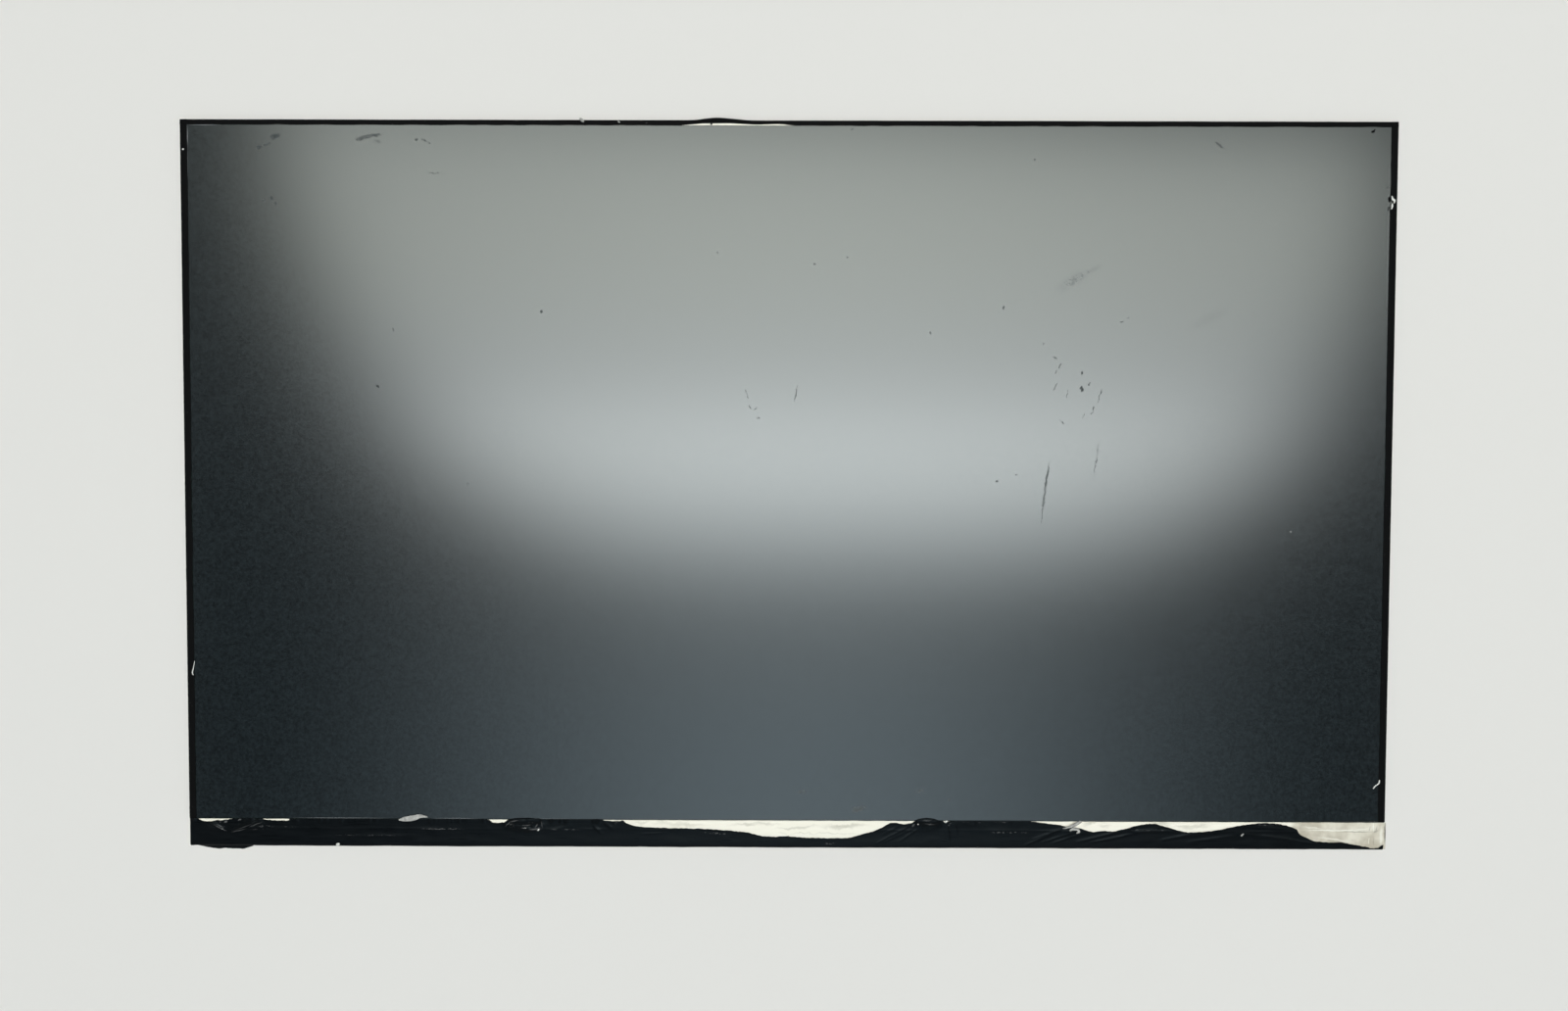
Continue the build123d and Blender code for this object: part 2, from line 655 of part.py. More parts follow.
parts = {
    "rear_chassis": rear_chassis(),
    "mould_frame": mould_frame(),
    "reflector_sheet": reflector_sheet(),
    "light_guide_plate": light_guide_plate(),
    "led_flex": led_flex(),
    "leds": leds(),
    "lower_diffuser_sheet": backlight_sheet(guide_face, lower_prism_back),
    "lower_prism_sheet": backlight_sheet(lower_prism_back, upper_prism_back),
    "upper_prism_sheet": backlight_sheet(upper_prism_back, upper_diffuser_back),
    "upper_diffuser_sheet": backlight_sheet(upper_diffuser_back, stack_face),
    "rim_adhesive": rim_adhesive(),
    "rear_polariser": rear_polariser(),
    "array_glass": array_glass(),
    "cell_seal": cell_seal(),
    "liquid_crystal_layer": liquid_crystal_layer(),
    "colour_filter_glass": colour_filter_glass(),
    "front_polariser": front_polariser(),
    "ledge_rail": ledge_rail(),
    "control_board": control_board(),
    "board_adhesive": board_adhesive(),
    "timing_chip": on_board(0, parts_y, TIMING_CHIP, TIMING_CHIP, TIMING_CHIP_HEIGHT),
    "memory_chip": on_board(memory_x, parts_y, MEMORY_CHIP_WIDTH, SMALL_CHIP, SMALL_CHIP_HEIGHT),
    "power_chip": on_board(power_chip_x, parts_y, SMALL_CHIP, SMALL_CHIP, SMALL_CHIP_HEIGHT),
    "backlight_chip": on_board(backlight_x, parts_y, SMALL_CHIP, SMALL_CHIP, SMALL_CHIP_HEIGHT),
    "inductors": inductors(),
    "capacitors": capacitors(),
    "resistors": resistors(),
    "connector_shell": connector_shell(),
    "connector_body": connector_body(),
    "connector_contacts": connector_contacts(),
    "left_edge_tape": mirror(side_edge_tape(), about=Plane.YZ),
    "right_edge_tape": right_edge_tape(),
    "top_edge_tape": top_edge_tape(),
    "top_white_film": top_white_film(),
    "bottom_white_film": bottom_white_film(),
    "bottom_black_film": bottom_black_film(),
    "black_film_fold": black_film_fold(),
    "grey_film_shreds": grey_film_shreds(),
}
for number, place in enumerate(film_places, start=1):
    parts[f"driver_film_{number}"] = driver_film(place)
    parts[f"driver_chip_{number}"] = chip_block(place, 0)

os.makedirs("parts", exist_ok=True)
for name, shape in parts.items():
    export_step(shape, f"parts/{name}.step")
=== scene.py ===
"""Looks of a bare laptop display module: finishes, torn and creased films, marks, floor, light, camera.

Metres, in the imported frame: +X is the screen's right, +Y its top and +Z points out of the screen.
Places on the bottom strip are written in millimetres: along X from the middle, then the height above
the bottom outline. Places on the screen are written in millimetres from the middle.
"""

import math

import bpy
import numpy as np
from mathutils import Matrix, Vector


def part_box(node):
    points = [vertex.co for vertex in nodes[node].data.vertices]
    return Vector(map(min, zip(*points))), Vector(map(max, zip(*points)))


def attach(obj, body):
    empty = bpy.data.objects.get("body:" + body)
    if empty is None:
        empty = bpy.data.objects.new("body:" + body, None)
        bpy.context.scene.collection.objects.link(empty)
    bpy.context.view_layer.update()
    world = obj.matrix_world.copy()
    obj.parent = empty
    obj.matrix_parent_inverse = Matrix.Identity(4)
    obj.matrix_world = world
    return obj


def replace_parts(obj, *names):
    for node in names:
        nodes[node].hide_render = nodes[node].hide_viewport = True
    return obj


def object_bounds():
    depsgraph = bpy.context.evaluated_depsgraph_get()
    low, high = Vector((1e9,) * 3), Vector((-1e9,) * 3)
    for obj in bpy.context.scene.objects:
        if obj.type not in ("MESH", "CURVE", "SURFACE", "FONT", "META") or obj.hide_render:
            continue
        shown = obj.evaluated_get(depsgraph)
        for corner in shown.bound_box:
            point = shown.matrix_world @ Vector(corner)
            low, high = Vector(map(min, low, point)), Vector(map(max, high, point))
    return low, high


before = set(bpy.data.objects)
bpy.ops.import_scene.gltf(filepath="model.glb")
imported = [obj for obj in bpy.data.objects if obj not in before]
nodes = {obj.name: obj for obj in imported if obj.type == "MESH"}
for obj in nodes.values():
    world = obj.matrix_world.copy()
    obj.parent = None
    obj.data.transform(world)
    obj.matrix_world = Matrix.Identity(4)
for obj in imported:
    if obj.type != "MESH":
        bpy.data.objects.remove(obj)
cad_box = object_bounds()
MM = 0.001

# Places read from the frame
screen_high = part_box("front_polariser")[1]
glass_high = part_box("colour_filter_glass")[1]
cream_low, cream_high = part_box("bottom_white_film")
sliver_low, sliver_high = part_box("top_white_film")
right_tape_low, right_tape_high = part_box("right_edge_tape")
connector_low, connector_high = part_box("connector_shell")
board_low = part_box("control_board")[0]
film = sliver_high.z - sliver_low.z
half_width = right_tape_high.x
glass_x = glass_high.x
top_outline = glass_high.y + film
lip_face = sliver_high.z
back_face = right_tape_low.z
screen_face = screen_high.z
bend_z = (cream_low.z + cream_high.z) / 2
cream_radius = (cream_high.z - cream_low.z) / 2
black_radius = cream_radius + film
bend_y = cream_low.y + cream_radius
bottom_outline = bend_y - black_radius
ledge_face = bend_z + black_radius

# Films and tapes
BACK_FLAP = 1.35 * MM
TAPE_FLAP = 4.0 * MM
TAPE_CORNER = 0.18 * MM
CONNECTOR_CUT = 1.5 * MM
CREAM_GAP = 0.2 * MM
FILM_STEP = 0.3 * MM

# Shapes of the black film, in millimetres; a cell is the spacing of uneven spots
OVER_GLASS = 7.15
CLIMB_START = 5.7
CLIMB_LENGTH = 1.35
GLASS_SIDE = 6.4
FINE_JAG = 0.07
FINE_JAG_CELL = 0.45
BROAD_JAG = 0.05
BROAD_JAG_CELL = 1.4
JAG_FADE = 0.6
SLACK = 0.05
SLACK_CELL = 9.0
SLACK_TOP = 3.2
SLACK_FADE = 2.0
LEDGE_CREASE = 0.04
LEDGE_CREASE_HEIGHT = 4.6
LEDGE_CREASE_WIDTH = 0.25
RIPPLE = 0.022
CURL = 0.12
CURL_REACH = 0.35
LIFT_END = -3.2
LIFT_FADE = 1.2
HEM_FADE = 1.2

# Share of the room above the film that its lift may fill before it levels off
KNEE_SHARE = 0.75

# Piece out of the right tape's lip: place along the side, half length and depth, in millimetres
RIGHT_BITE = (70.6, 1.6, 0.75)

# Torn upper edge of the black film, from left to right
TORN_EDGE = [
    (-150.2, 7.15), (-148.3, 7.15), (-147.7, 6.75), (-146.4, 6.25), (-145.2, 6.35), (-143.4, 6.55),
    (-141.0, 6.7), (-139.6, 6.9), (-138.8, 7.15), (-132.1, 7.15), (-131.4, 6.78), (-129.5, 6.64),
    (-127.5, 6.54), (-125.6, 6.45), (-125.2, 6.55), (-124.9, 7.1), (-124.3, 7.0), (-123.0, 7.12),
    (-75.9, 7.15), (-74.9, 6.95), (-74.3, 6.55), (-73.7, 6.2), (-71.2, 6.2), (-70.4, 6.7), (-69.5, 7.15),
    (-68.6, 7.35), (-65.5, 7.5), (-62.5, 7.4), (-61.2, 7.15), (-46.6, 7.15), (-45.4, 6.75), (-42.0, 6.62),
    (-41.2, 6.85), (-40.2, 6.1), (-38.2, 5.5), (-35.2, 5.1), (-29.0, 4.95), (-21.7, 4.8), (-15.5, 4.45),
    (-10.5, 4.0), (-5.8, 3.0), (-3.5, 2.85), (0.1, 3.0), (3.0, 2.72), (6.8, 2.6), (13.4, 2.5),
    (20.4, 3.9), (24.1, 5.3), (26.6, 6.5), (29.5, 6.15), (31.5, 6.5), (32.3, 7.15), (33.2, 7.6),
    (35.2, 7.85), (37.0, 7.65), (38.4, 7.15), (39.4, 7.0), (40.0, 6.5), (40.9, 6.95), (42.5, 7.12),
    (58.2, 7.15), (66.2, 6.35), (70.9, 5.7), (74.0, 5.2), (77.4, 4.3), (79.8, 4.7), (81.3, 4.5),
    (88.3, 6.0), (92.3, 6.45), (95.8, 5.5), (101.2, 4.35), (106.5, 4.65), (113.6, 6.0), (117.0, 6.5),
    (120.1, 6.75), (123.0, 6.6), (125.5, 6.2), (127.7, 5.4), (128.3, 5.1), (128.5, 4.5), (130.4, 3.15),
    (133.6, 2.1), (136.0, 1.95), (139.1, 1.9), (142.5, 1.35), (145.3, 0.85), (147.5, 0.5), (148.6, 0.6),
    (149.3, 1.1), (150.2, 1.5),
]

# Ragged lower edge of the black film where it hangs past the bottom outline, from left to right
RAGGED_HEM = [
    (-149.8, 0.2), (-148.4, -0.2), (-146.9, -0.5), (-144.9, -0.85), (-143.5, -1.0), (-141.8, -0.85),
    (-140.5, -0.9), (-138.6, -1.0), (-137.1, -1.02), (-136.2, -0.75), (-135.0, -0.4), (-133.5, 0.3),
]

# Wrinkles of the black film: start, end, half width, height
WRINKLES = [
    (-145.6, 6.7, -141.9, 4.5, 0.26, 0.26), (-144.9, 6.2, -143.0, 4.9, 0.2, 0.16),
    (-139.2, 4.1, -132.4, 6.8, 0.28, 0.3), (-137.8, 4.9, -133.1, 6.4, 0.2, 0.2),
    (-135.5, 4.2, -129.5, 6.3, 0.3, 0.08), (-146.4, 5.4, -143.2, 4.0, 0.3, 0.08),
    (-48.5, 5.5, -46.5, 3.6, 0.28, 0.1), (-45.6, 6.3, -43.6, 4.6, 0.3, 0.1),
    (-36.5, 3.4, -30.0, 3.9, 0.25, 0.07), (-34.5, 4.2, -28.5, 4.6, 0.2, 0.05),
    (22.7, 1.3, 30.7, 5.6, 0.24, 0.08), (24.4, 1.6, 31.4, 4.9, 0.22, 0.07),
    (26.5, 3.2, 29.9, 5.0, 0.2, 0.06), (28.4, 1.8, 33.4, 5.2, 0.26, 0.08),
    (24.0, 3.4, 28.6, 5.9, 0.22, 0.06), (40.3, 5.9, 40.9, 2.4, 0.22, 0.12),
    (42.2, 6.2, 42.9, 3.9, 0.3, 0.07), (60.0, 0.9, 68.1, 4.6, 0.26, 0.09),
    (62.0, 2.5, 69.8, 5.4, 0.24, 0.08), (64.2, 1.6, 72.4, 4.4, 0.24, 0.07),
    (67.0, 1.5, 75.8, 4.5, 0.24, 0.07), (73.3, 1.9, 87.5, 5.4, 0.35, 0.12),
    (76.5, 1.7, 85.0, 3.4, 0.28, 0.08), (81.0, 2.6, 93.5, 5.4, 0.35, 0.07),
    (94.5, 2.4, 114.1, 6.4, 0.35, 0.14), (101.5, 2.0, 112.0, 3.4, 0.4, 0.08),
    (113.0, 4.2, 127.0, 2.6, 0.4, 0.09), (120.0, 3.6, 133.6, 1.4, 0.28, 0.09),
    (116.5, 5.7, 126.2, 5.2, 0.28, 0.07), (86.0, 4.6, 97.0, 4.6, 0.35, 0.1),
    (-110.0, 2.7, -94.0, 2.9, 0.4, 0.06), (-60.5, 4.0, -54.0, 5.6, 0.3, 0.06),
]

# Crumpled lumps of the black film: middle, half length, half height, how high it stands
CRUMPLES = [
    (-138.2, 5.7, 9.0, 2.0, 0.16), (-65.8, 5.8, 5.2, 2.0, 0.58), (35.3, 6.4, 4.2, 1.7, 0.32),
    (72.5, 4.4, 5.0, 1.6, 0.14), (-43.5, 5.9, 3.0, 1.4, 0.12), (-124.5, 6.3, 3.5, 1.0, 0.12),
    (44.0, 6.3, 4.5, 1.0, 0.1),
]

# Creases of the cream film: start, end, half width, height
CREASES = [
    (127.5, 4.85, 149.3, 4.95, 0.22, 0.09), (147.9, 7.0, 147.9, 4.2, 0.18, 0.1),
    (147.0, 3.2, 147.2, 1.4, 0.18, 0.09), (148.9, 6.6, 149.2, 2.0, 0.2, 0.07),
    (137.0, 6.2, 146.0, 5.6, 0.5, 0.05), (132.0, 3.9, 146.0, 3.1, 0.6, 0.05),
    (-36.0, 6.2, 22.0, 6.0, 0.5, 0.03), (-16.0, 4.6, 24.0, 4.6, 0.25, 0.05),
    (88.0, 6.6, 110.0, 5.6, 0.4, 0.04),
]


def ease(share):
    """Smooth step: 3 s squared minus 2 s cubed, with s held between 0 and 1."""
    held = np.clip(share, 0, 1)
    return held * held * (3 - 2 * held)


def curve_through(points, places):
    """Smooth curve through points without overshoot: cubic pieces whose slope at each point is the
    harmonic mean of the slopes on its two sides, or flat where those differ in sign."""
    x, y = np.array(points, float).T
    step = np.diff(x)
    slope = np.diff(y) / step
    product = slope[:-1] * slope[1:]
    total = slope[:-1] + slope[1:]
    inner = np.where(product > 0, 2 * product / np.where(total == 0, 1, total), 0)
    tangent = np.concatenate([slope[:1], inner, slope[-1:]])
    piece = np.clip(np.searchsorted(x, places) - 1, 0, len(step) - 1)
    share = np.clip((places - x[piece]) / step[piece], 0, 1)
    rise = ease(share)
    start = share * (1 - share) ** 2 * step[piece] * tangent[piece]
    end = share ** 2 * (share - 1) * step[piece] * tangent[piece + 1]
    return y[piece] * (1 - rise) + y[piece + 1] * rise + start + end


def lattice_noise(seed, along, across, cell):
    """Smooth noise from -1 to 1: seeded random heights on a square lattice, eased between neighbours."""
    size = 512
    heights = np.random.default_rng(seed).uniform(-1, 1, (size, size))
    u, v = np.broadcast_arrays(along / cell, across / cell)
    i = np.floor(u).astype(int)
    j = np.floor(v).astype(int)
    right = ease(u - i)
    up = ease(v - j)
    low = heights[i % size, j % size] * (1 - right) + heights[(i + 1) % size, j % size] * right
    high = heights[i % size, (j + 1) % size] * (1 - right) + heights[(i + 1) % size, (j + 1) % size] * right
    return low * (1 - up) + high * up


def ridges(along, height, rows):
    """Sum of straight ridges: each falls off as a bell with the distance from its own line."""
    total = np.zeros(np.broadcast(along, height).shape)
    for x0, h0, x1, h1, half_width_mm, rise in rows:
        run = x1 - x0
        climb = h1 - h0
        share = np.clip(((along - x0) * run + (height - h0) * climb) / (run * run + climb * climb), 0, 1)
        away = np.hypot(along - x0 - share * run, height - h0 - share * climb)
        total += rise * np.sin(np.pi * (0.15 + 0.7 * share)) * np.exp(-((away / half_width_mm) ** 2))
    return total


def lumps(along, height, rows, seed):
    """Sum of crumpled patches: ridged noise, one minus its size, under an elliptical bell."""
    total = np.zeros(np.broadcast(along, height).shape)
    folds = 1 - np.abs(lattice_noise(seed, along + 0.6 * height, height - 0.3 * along, 1.3))
    facets = 1 - np.abs(lattice_noise(seed + 1, along - 0.4 * height, height + 0.5 * along, 0.6))
    for x, h, half_length, half_height, rise in rows:
        away = np.hypot((along - x) / half_length, (height - h) / half_height)
        total += rise * ease(1.25 - away) * (0.25 + 0.5 * folds ** 2 + 0.3 * facets ** 2)
    return total


def surface_piece(name, points, finish, thickness=0.0):
    """Mesh piece from a grid of points (rows, columns, 3): each square of neighbours is one face.
    Along a row and then along a column turns left seen from outside. Solidify adds the thickness."""
    rows, columns = points.shape[:2]
    index = np.arange(rows * columns).reshape(rows, columns)
    corners = [index[:-1, :-1], index[:-1, 1:], index[1:, 1:], index[1:, :-1]]
    faces = np.stack(corners, axis=-1).reshape(-1, 4)
    return mesh_piece(name, points.reshape(-1, 3), faces.tolist(), finish, thickness)


def mesh_piece(name, points, faces, finish, thickness=0.0):
    """Smooth-shaded mesh piece from points and faces, riding on the module."""
    mesh = bpy.data.meshes.new(name)
    mesh.from_pydata(points.tolist(), [], faces)
    mesh.shade_smooth()
    mesh.materials.append(finish)
    piece = bpy.data.objects.new(name, mesh)
    bpy.context.scene.collection.objects.link(piece)
    if thickness:
        wall = piece.modifiers.new("film_thickness", "SOLIDIFY")
        wall.thickness = thickness
        wall.offset = -1
    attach(piece, "root")
    return piece


def new_finish(name):
    """New node material: the material, its tree and its shader."""
    finish = bpy.data.materials.new(name)
    finish.use_nodes = True
    return finish, finish.node_tree, finish.node_tree.nodes["Principled BSDF"]


def add_node(tree, kind, inputs, **settings):
    """Node of a kind with its settings; each input is a value or the socket that feeds it."""
    node = tree.nodes.new(kind)
    for key, value in settings.items():
        setattr(node, key, value)
    for key, value in inputs.items():
        if isinstance(value, bpy.types.NodeSocket):
            tree.links.new(value, node.inputs[key])
        else:
            node.inputs[key].default_value = value
    return node


def object_place(tree):
    """Place on the piece, in metres of the frame."""
    return tree.nodes.new("ShaderNodeTexCoord").outputs["Object"]


def stretched(tree, place, scale):
    """Place stretched by a factor along each axis."""
    return add_node(tree, "ShaderNodeMapping", {"Vector": place, "Scale": scale}).outputs["Vector"]


def noise(tree, place, scale, detail=2.0, roughness=0.5):
    """Noise value from 0 to 1; scale is the number of cells in a metre."""
    inputs = {"Vector": place, "Scale": scale, "Detail": detail, "Roughness": roughness}
    return add_node(tree, "ShaderNodeTexNoise", inputs).outputs["Fac"]


def ranged(tree, value, start, end, low, high, smooth=False):
    """Value carried from one range to another and held at its ends."""
    inputs = {"Value": value, "From Min": start, "From Max": end, "To Min": low, "To Max": high}
    kind = "SMOOTHSTEP" if smooth else "LINEAR"
    return add_node(tree, "ShaderNodeMapRange", inputs, interpolation_type=kind).outputs["Result"]


def combine(tree, operation, first, second):
    """One arithmetic step on two values."""
    node = add_node(tree, "ShaderNodeMath", {0: first, 1: second}, operation=operation)
    return node.outputs["Value"]


def mixed(tree, share, first, second):
    """Colour between two colours."""
    node = tree.nodes.new("ShaderNodeMix")
    node.data_type = "RGBA"
    for socket, value in (("Factor_Float", share), ("A_Color", first), ("B_Color", second)):
        target = next(item for item in node.inputs if item.identifier == socket)
        if isinstance(value, bpy.types.NodeSocket):
            tree.links.new(value, target)
        else:
            target.default_value = value
    return next(item for item in node.outputs if item.identifier == "Result_Color")


def raised(tree, shader, height, distance, strength=1.0):
    """Fine relief on the shader's normal."""
    bump = add_node(tree, "ShaderNodeBump", {"Height": height, "Distance": distance, "Strength": strength})
    tree.links.new(bump.outputs["Normal"], shader.inputs["Normal"])


def grey(level, warmth=0.0):
    """Grey with a touch of warmth, as a colour."""
    return (level * (1 + warmth), level, level * (1 - warmth), 1.0)


def strip_rows(rows):
    """Rows of marks on the bottom strip, with each height turned into a place along Y, in millimetres."""
    return [(x, bottom_outline / MM + height, *rest) for x, height, *rest in rows]


def marked(tree, place, rows, level):
    """Share of a surface that is marked: each row is a soft ellipse by its middle, half length, half
    width, turn in degrees and strength, and the strongest counts."""
    total = None
    for x, y, half_length, half_width_mm, turn, strength in rows:
        inputs = {
            "Vector": place,
            "Location": (x * MM, y * MM, level),
            "Rotation": (0, 0, math.radians(turn)),
            "Scale": (half_length * MM, half_width_mm * MM, 1.0),
        }
        turned = add_node(tree, "ShaderNodeMapping", inputs, vector_type="TEXTURE").outputs["Vector"]
        away = add_node(tree, "ShaderNodeVectorMath", {0: turned}, operation="LENGTH").outputs["Value"]
        share = ranged(tree, away, 0.25, 1.0, strength, 0.0, smooth=True)
        total = share if total is None else combine(tree, "MAXIMUM", total, share)
    return total


def wobbled(tree, place, scale, reach):
    """Place shifted a little by noise, so that marks have uneven edges."""
    inputs = {"Vector": place, "Scale": scale, "Detail": 2.0}
    colour = add_node(tree, "ShaderNodeTexNoise", inputs).outputs["Color"]
    half = add_node(tree, "ShaderNodeVectorMath", {0: colour, 1: (0.5, 0.5, 0.5)}, operation="SUBTRACT")
    shift = add_node(tree, "ShaderNodeVectorMath", {0: half.outputs[0], "Scale": reach}, operation="SCALE")
    moved = add_node(tree, "ShaderNodeVectorMath", {0: place, 1: shift.outputs[0]}, operation="ADD")
    return moved.outputs[0]


# Dull marks on the screen: middle, half length, half width, turn, strength
SCREEN_MARKS = [
    (-126.4, 86.4, 1.7, 0.75, 20, 0.8), (-130.6, 83.7, 1.0, 0.8, 40, 0.8),
    (-128.6, 84.4, 1.5, 0.55, 25, 0.5), (-103.3, 86.4, 4.0, 0.6, 9, 0.6),
    (-105.4, 85.7, 1.8, 0.5, 8, 0.45), (-101.4, 85.1, 1.4, 0.6, 0, 0.15),
    (-91.6, 85.7, 0.5, 0.45, 0, 0.5), (-89.5, 85.4, 1.2, 0.35, -22, 0.35),
    (-88.5, 84.9, 0.6, 0.4, -50, 0.3), (-127.7, 71.4, 0.9, 0.45, -60, 0.75),
    (-126.6, 69.9, 0.8, 0.6, -60, 0.75), (-129.5, 70.7, 0.6, 0.45, 0, 0.55),
    (-86.9, 77.4, 3.2, 0.25, -4, 0.2), (-60.9, 43.5, 0.55, 0.4, 60, 0.7),
    (-97.8, 38.9, 0.9, 0.25, -70, 0.4), (-101.8, 25.0, 0.5, 0.45, 0, 0.85),
    (-17.5, 58.1, 0.4, 0.35, 0, 0.35), (6.5, 55.3, 0.55, 0.35, 30, 0.65),
    (14.7, 57.0, 0.4, 0.35, 0, 0.35), (53.3, 44.6, 0.9, 0.4, 85, 0.6), (35.2, 38.5, 0.55, 0.35, 60, 0.65),
    (15.5, 88.6, 0.5, 0.3, 0, 0.35), (60.7, 81.1, 0.4, 0.35, 0, 0.35), (106.1, 84.6, 2.7, 0.4, -32, 0.4),
    (70.4, 51.4, 6.4, 1.9, 31, 0.2), (74.6, 53.8, 4.4, 0.9, 29, 0.15), (82.6, 41.4, 0.75, 0.25, 22, 0.55),
    (84.0, 42.4, 0.4, 0.3, 0, 0.35), (104.0, 42.2, 7.0, 1.6, 28, 0.08), (63.2, 35.9, 0.6, 0.35, 60, 0.25),
    (66.1, 32.5, 0.9, 0.35, -40, 0.35), (67.5, 30.6, 1.1, 0.3, 65, 0.55),
    (66.5, 29.1, 0.9, 0.25, 55, 0.35), (72.8, 28.6, 0.8, 0.45, 90, 0.9),
    (72.8, 24.8, 0.95, 0.55, 95, 0.95), (74.7, 26.0, 0.75, 0.3, 45, 0.7), (66.3, 25.3, 1.6, 0.3, 65, 0.5),
    (69.2, 23.4, 1.8, 0.24, 85, 0.35), (77.6, 24.1, 1.1, 0.3, 72, 0.6), (77.1, 22.4, 2.1, 0.24, 72, 0.35),
    (75.8, 19.9, 0.9, 0.35, 70, 0.55), (75.4, 18.9, 0.6, 0.25, 35, 0.35),
    (73.4, 18.0, 1.3, 0.2, 75, 0.25), (68.0, 16.6, 1.2, 0.25, -50, 0.35), (64.3, 2.2, 5.4, 0.42, 81, 0.5),
    (63.7, -3.2, 8.2, 0.36, 84, 0.36), (76.7, 7.3, 6.4, 0.3, 82, 0.2), (52.2, 1.9, 0.5, 0.45, 0, 0.65),
    (56.9, 3.4, 0.5, 0.35, 0, 0.3), (-10.2, 23.4, 1.9, 0.26, -72, 0.36),
    (-9.4, 20.1, 1.0, 0.26, -55, 0.36), (-8.1, 19.7, 1.0, 0.26, 28, 0.36),
    (-7.4, 17.4, 0.5, 0.35, 0, 0.3), (2.05, 23.4, 3.0, 0.25, 81, 0.5), (-79.6, 1.0, 0.45, 0.35, 0, 0.35),
    (-91.0, 0.0, 4.0, 0.5, -52, 0.15), (18.1, -80.5, 2.6, 1.1, 10, 0.6), (33.3, -75.8, 1.4, 0.7, 0, 0.5),
    (4.0, -76.1, 1.4, 0.6, 0, 0.45), (40.9, -78.1, 0.5, 0.4, 0, 0.8), (147.7, 69.2, 1.1, 0.3, 80, 0.7),
    (147.4, 74.6, 0.8, 0.3, 60, 0.3),
]

# Painted highlights where light catches the cut edges of the screen film and the glass's lower edge: the same
# columns
SCREEN_EDGE_HIGHLIGHTS = [
    (-148.2, 86.6, 3.2, 0.16, 90, 0.9), (-144.0, 89.15, 5.2, 0.14, 0, 0.7),
    (-148.2, 80.0, 6.0, 0.12, 90, 0.25), (147.9, 62.0, 26.0, 0.3, 90, 0.07),
    (-112.0, -83.25, 15.0, 0.13, 0, 0.55), (-83.0, -83.25, 7.5, 0.13, 0, 0.5),
    (-60.0, -83.25, 9.0, 0.1, 0, 0.25),
]


def screen_finish():
    """Matte front film: bluish black, fine anti-glare grain, marks that dull the sheen, and painted highlights
    along its edges.
    """
    finish, tree, shader = new_finish("matte_screen_film")
    place = object_place(tree)
    uneven = wobbled(tree, place, 900.0, 0.9 * MM)
    fibre = ranged(tree, noise(tree, place, 1700.0, 3.0), 0.36, 0.6, 0.25, 1.0)
    dull = combine(tree, "MULTIPLY", marked(tree, uneven, SCREEN_MARKS, screen_face), fibre)
    # Painted highlights along the cut edges: pale colour mixed into the base
    pale = marked(tree, place, SCREEN_EDGE_HIGHLIGHTS, screen_face)
    grain = noise(tree, place, 1300.0, 3.0, 0.6)
    speckle = ranged(tree, grain, 0.3, 0.7, 0.0, 1.0)
    base = mixed(tree, speckle, (0.0045, 0.0066, 0.008, 1), (0.0118, 0.0177, 0.0208, 1))
    tree.links.new(mixed(tree, pale, base, (0.34, 0.35, 0.36, 1)), shader.inputs["Base Color"])
    sheen = ranged(tree, grain, 0.3, 0.7, 0.15, 0.17)
    rough = add_node(tree, "ShaderNodeMath", {0: dull, 1: 0.75, 2: sheen}, operation="MULTIPLY_ADD")
    tree.links.new(rough.outputs["Value"], shader.inputs["Roughness"])
    shader.inputs["Specular IOR Level"].default_value = 0.62
    shader.inputs["Specular Tint"].default_value = (0.93, 1.0, 0.99, 1.0)
    raised(tree, shader, grain, 0.002 * MM)
    return finish


def tape_finish():
    """Matte black edge tape: fine pebble grain and a little lint."""
    finish, tree, shader = new_finish("matte_black_tape")
    place = object_place(tree)
    lint = ranged(tree, noise(tree, place, 900.0, 3.0), 0.71, 0.78, 0.0, 1.0)
    worn = noise(tree, place, 120.0, 3.0)
    base = mixed(tree, worn, grey(0.0018, -0.1), grey(0.0034, -0.1))
    tree.links.new(mixed(tree, lint, base, grey(0.05)), shader.inputs["Base Color"])
    tree.links.new(ranged(tree, worn, 0.3, 0.7, 0.5, 0.62), shader.inputs["Roughness"])
    shader.inputs["Specular IOR Level"].default_value = 0.04
    raised(tree, shader, noise(tree, place, 3000.0, 2.0), 0.01 * MM)
    return finish
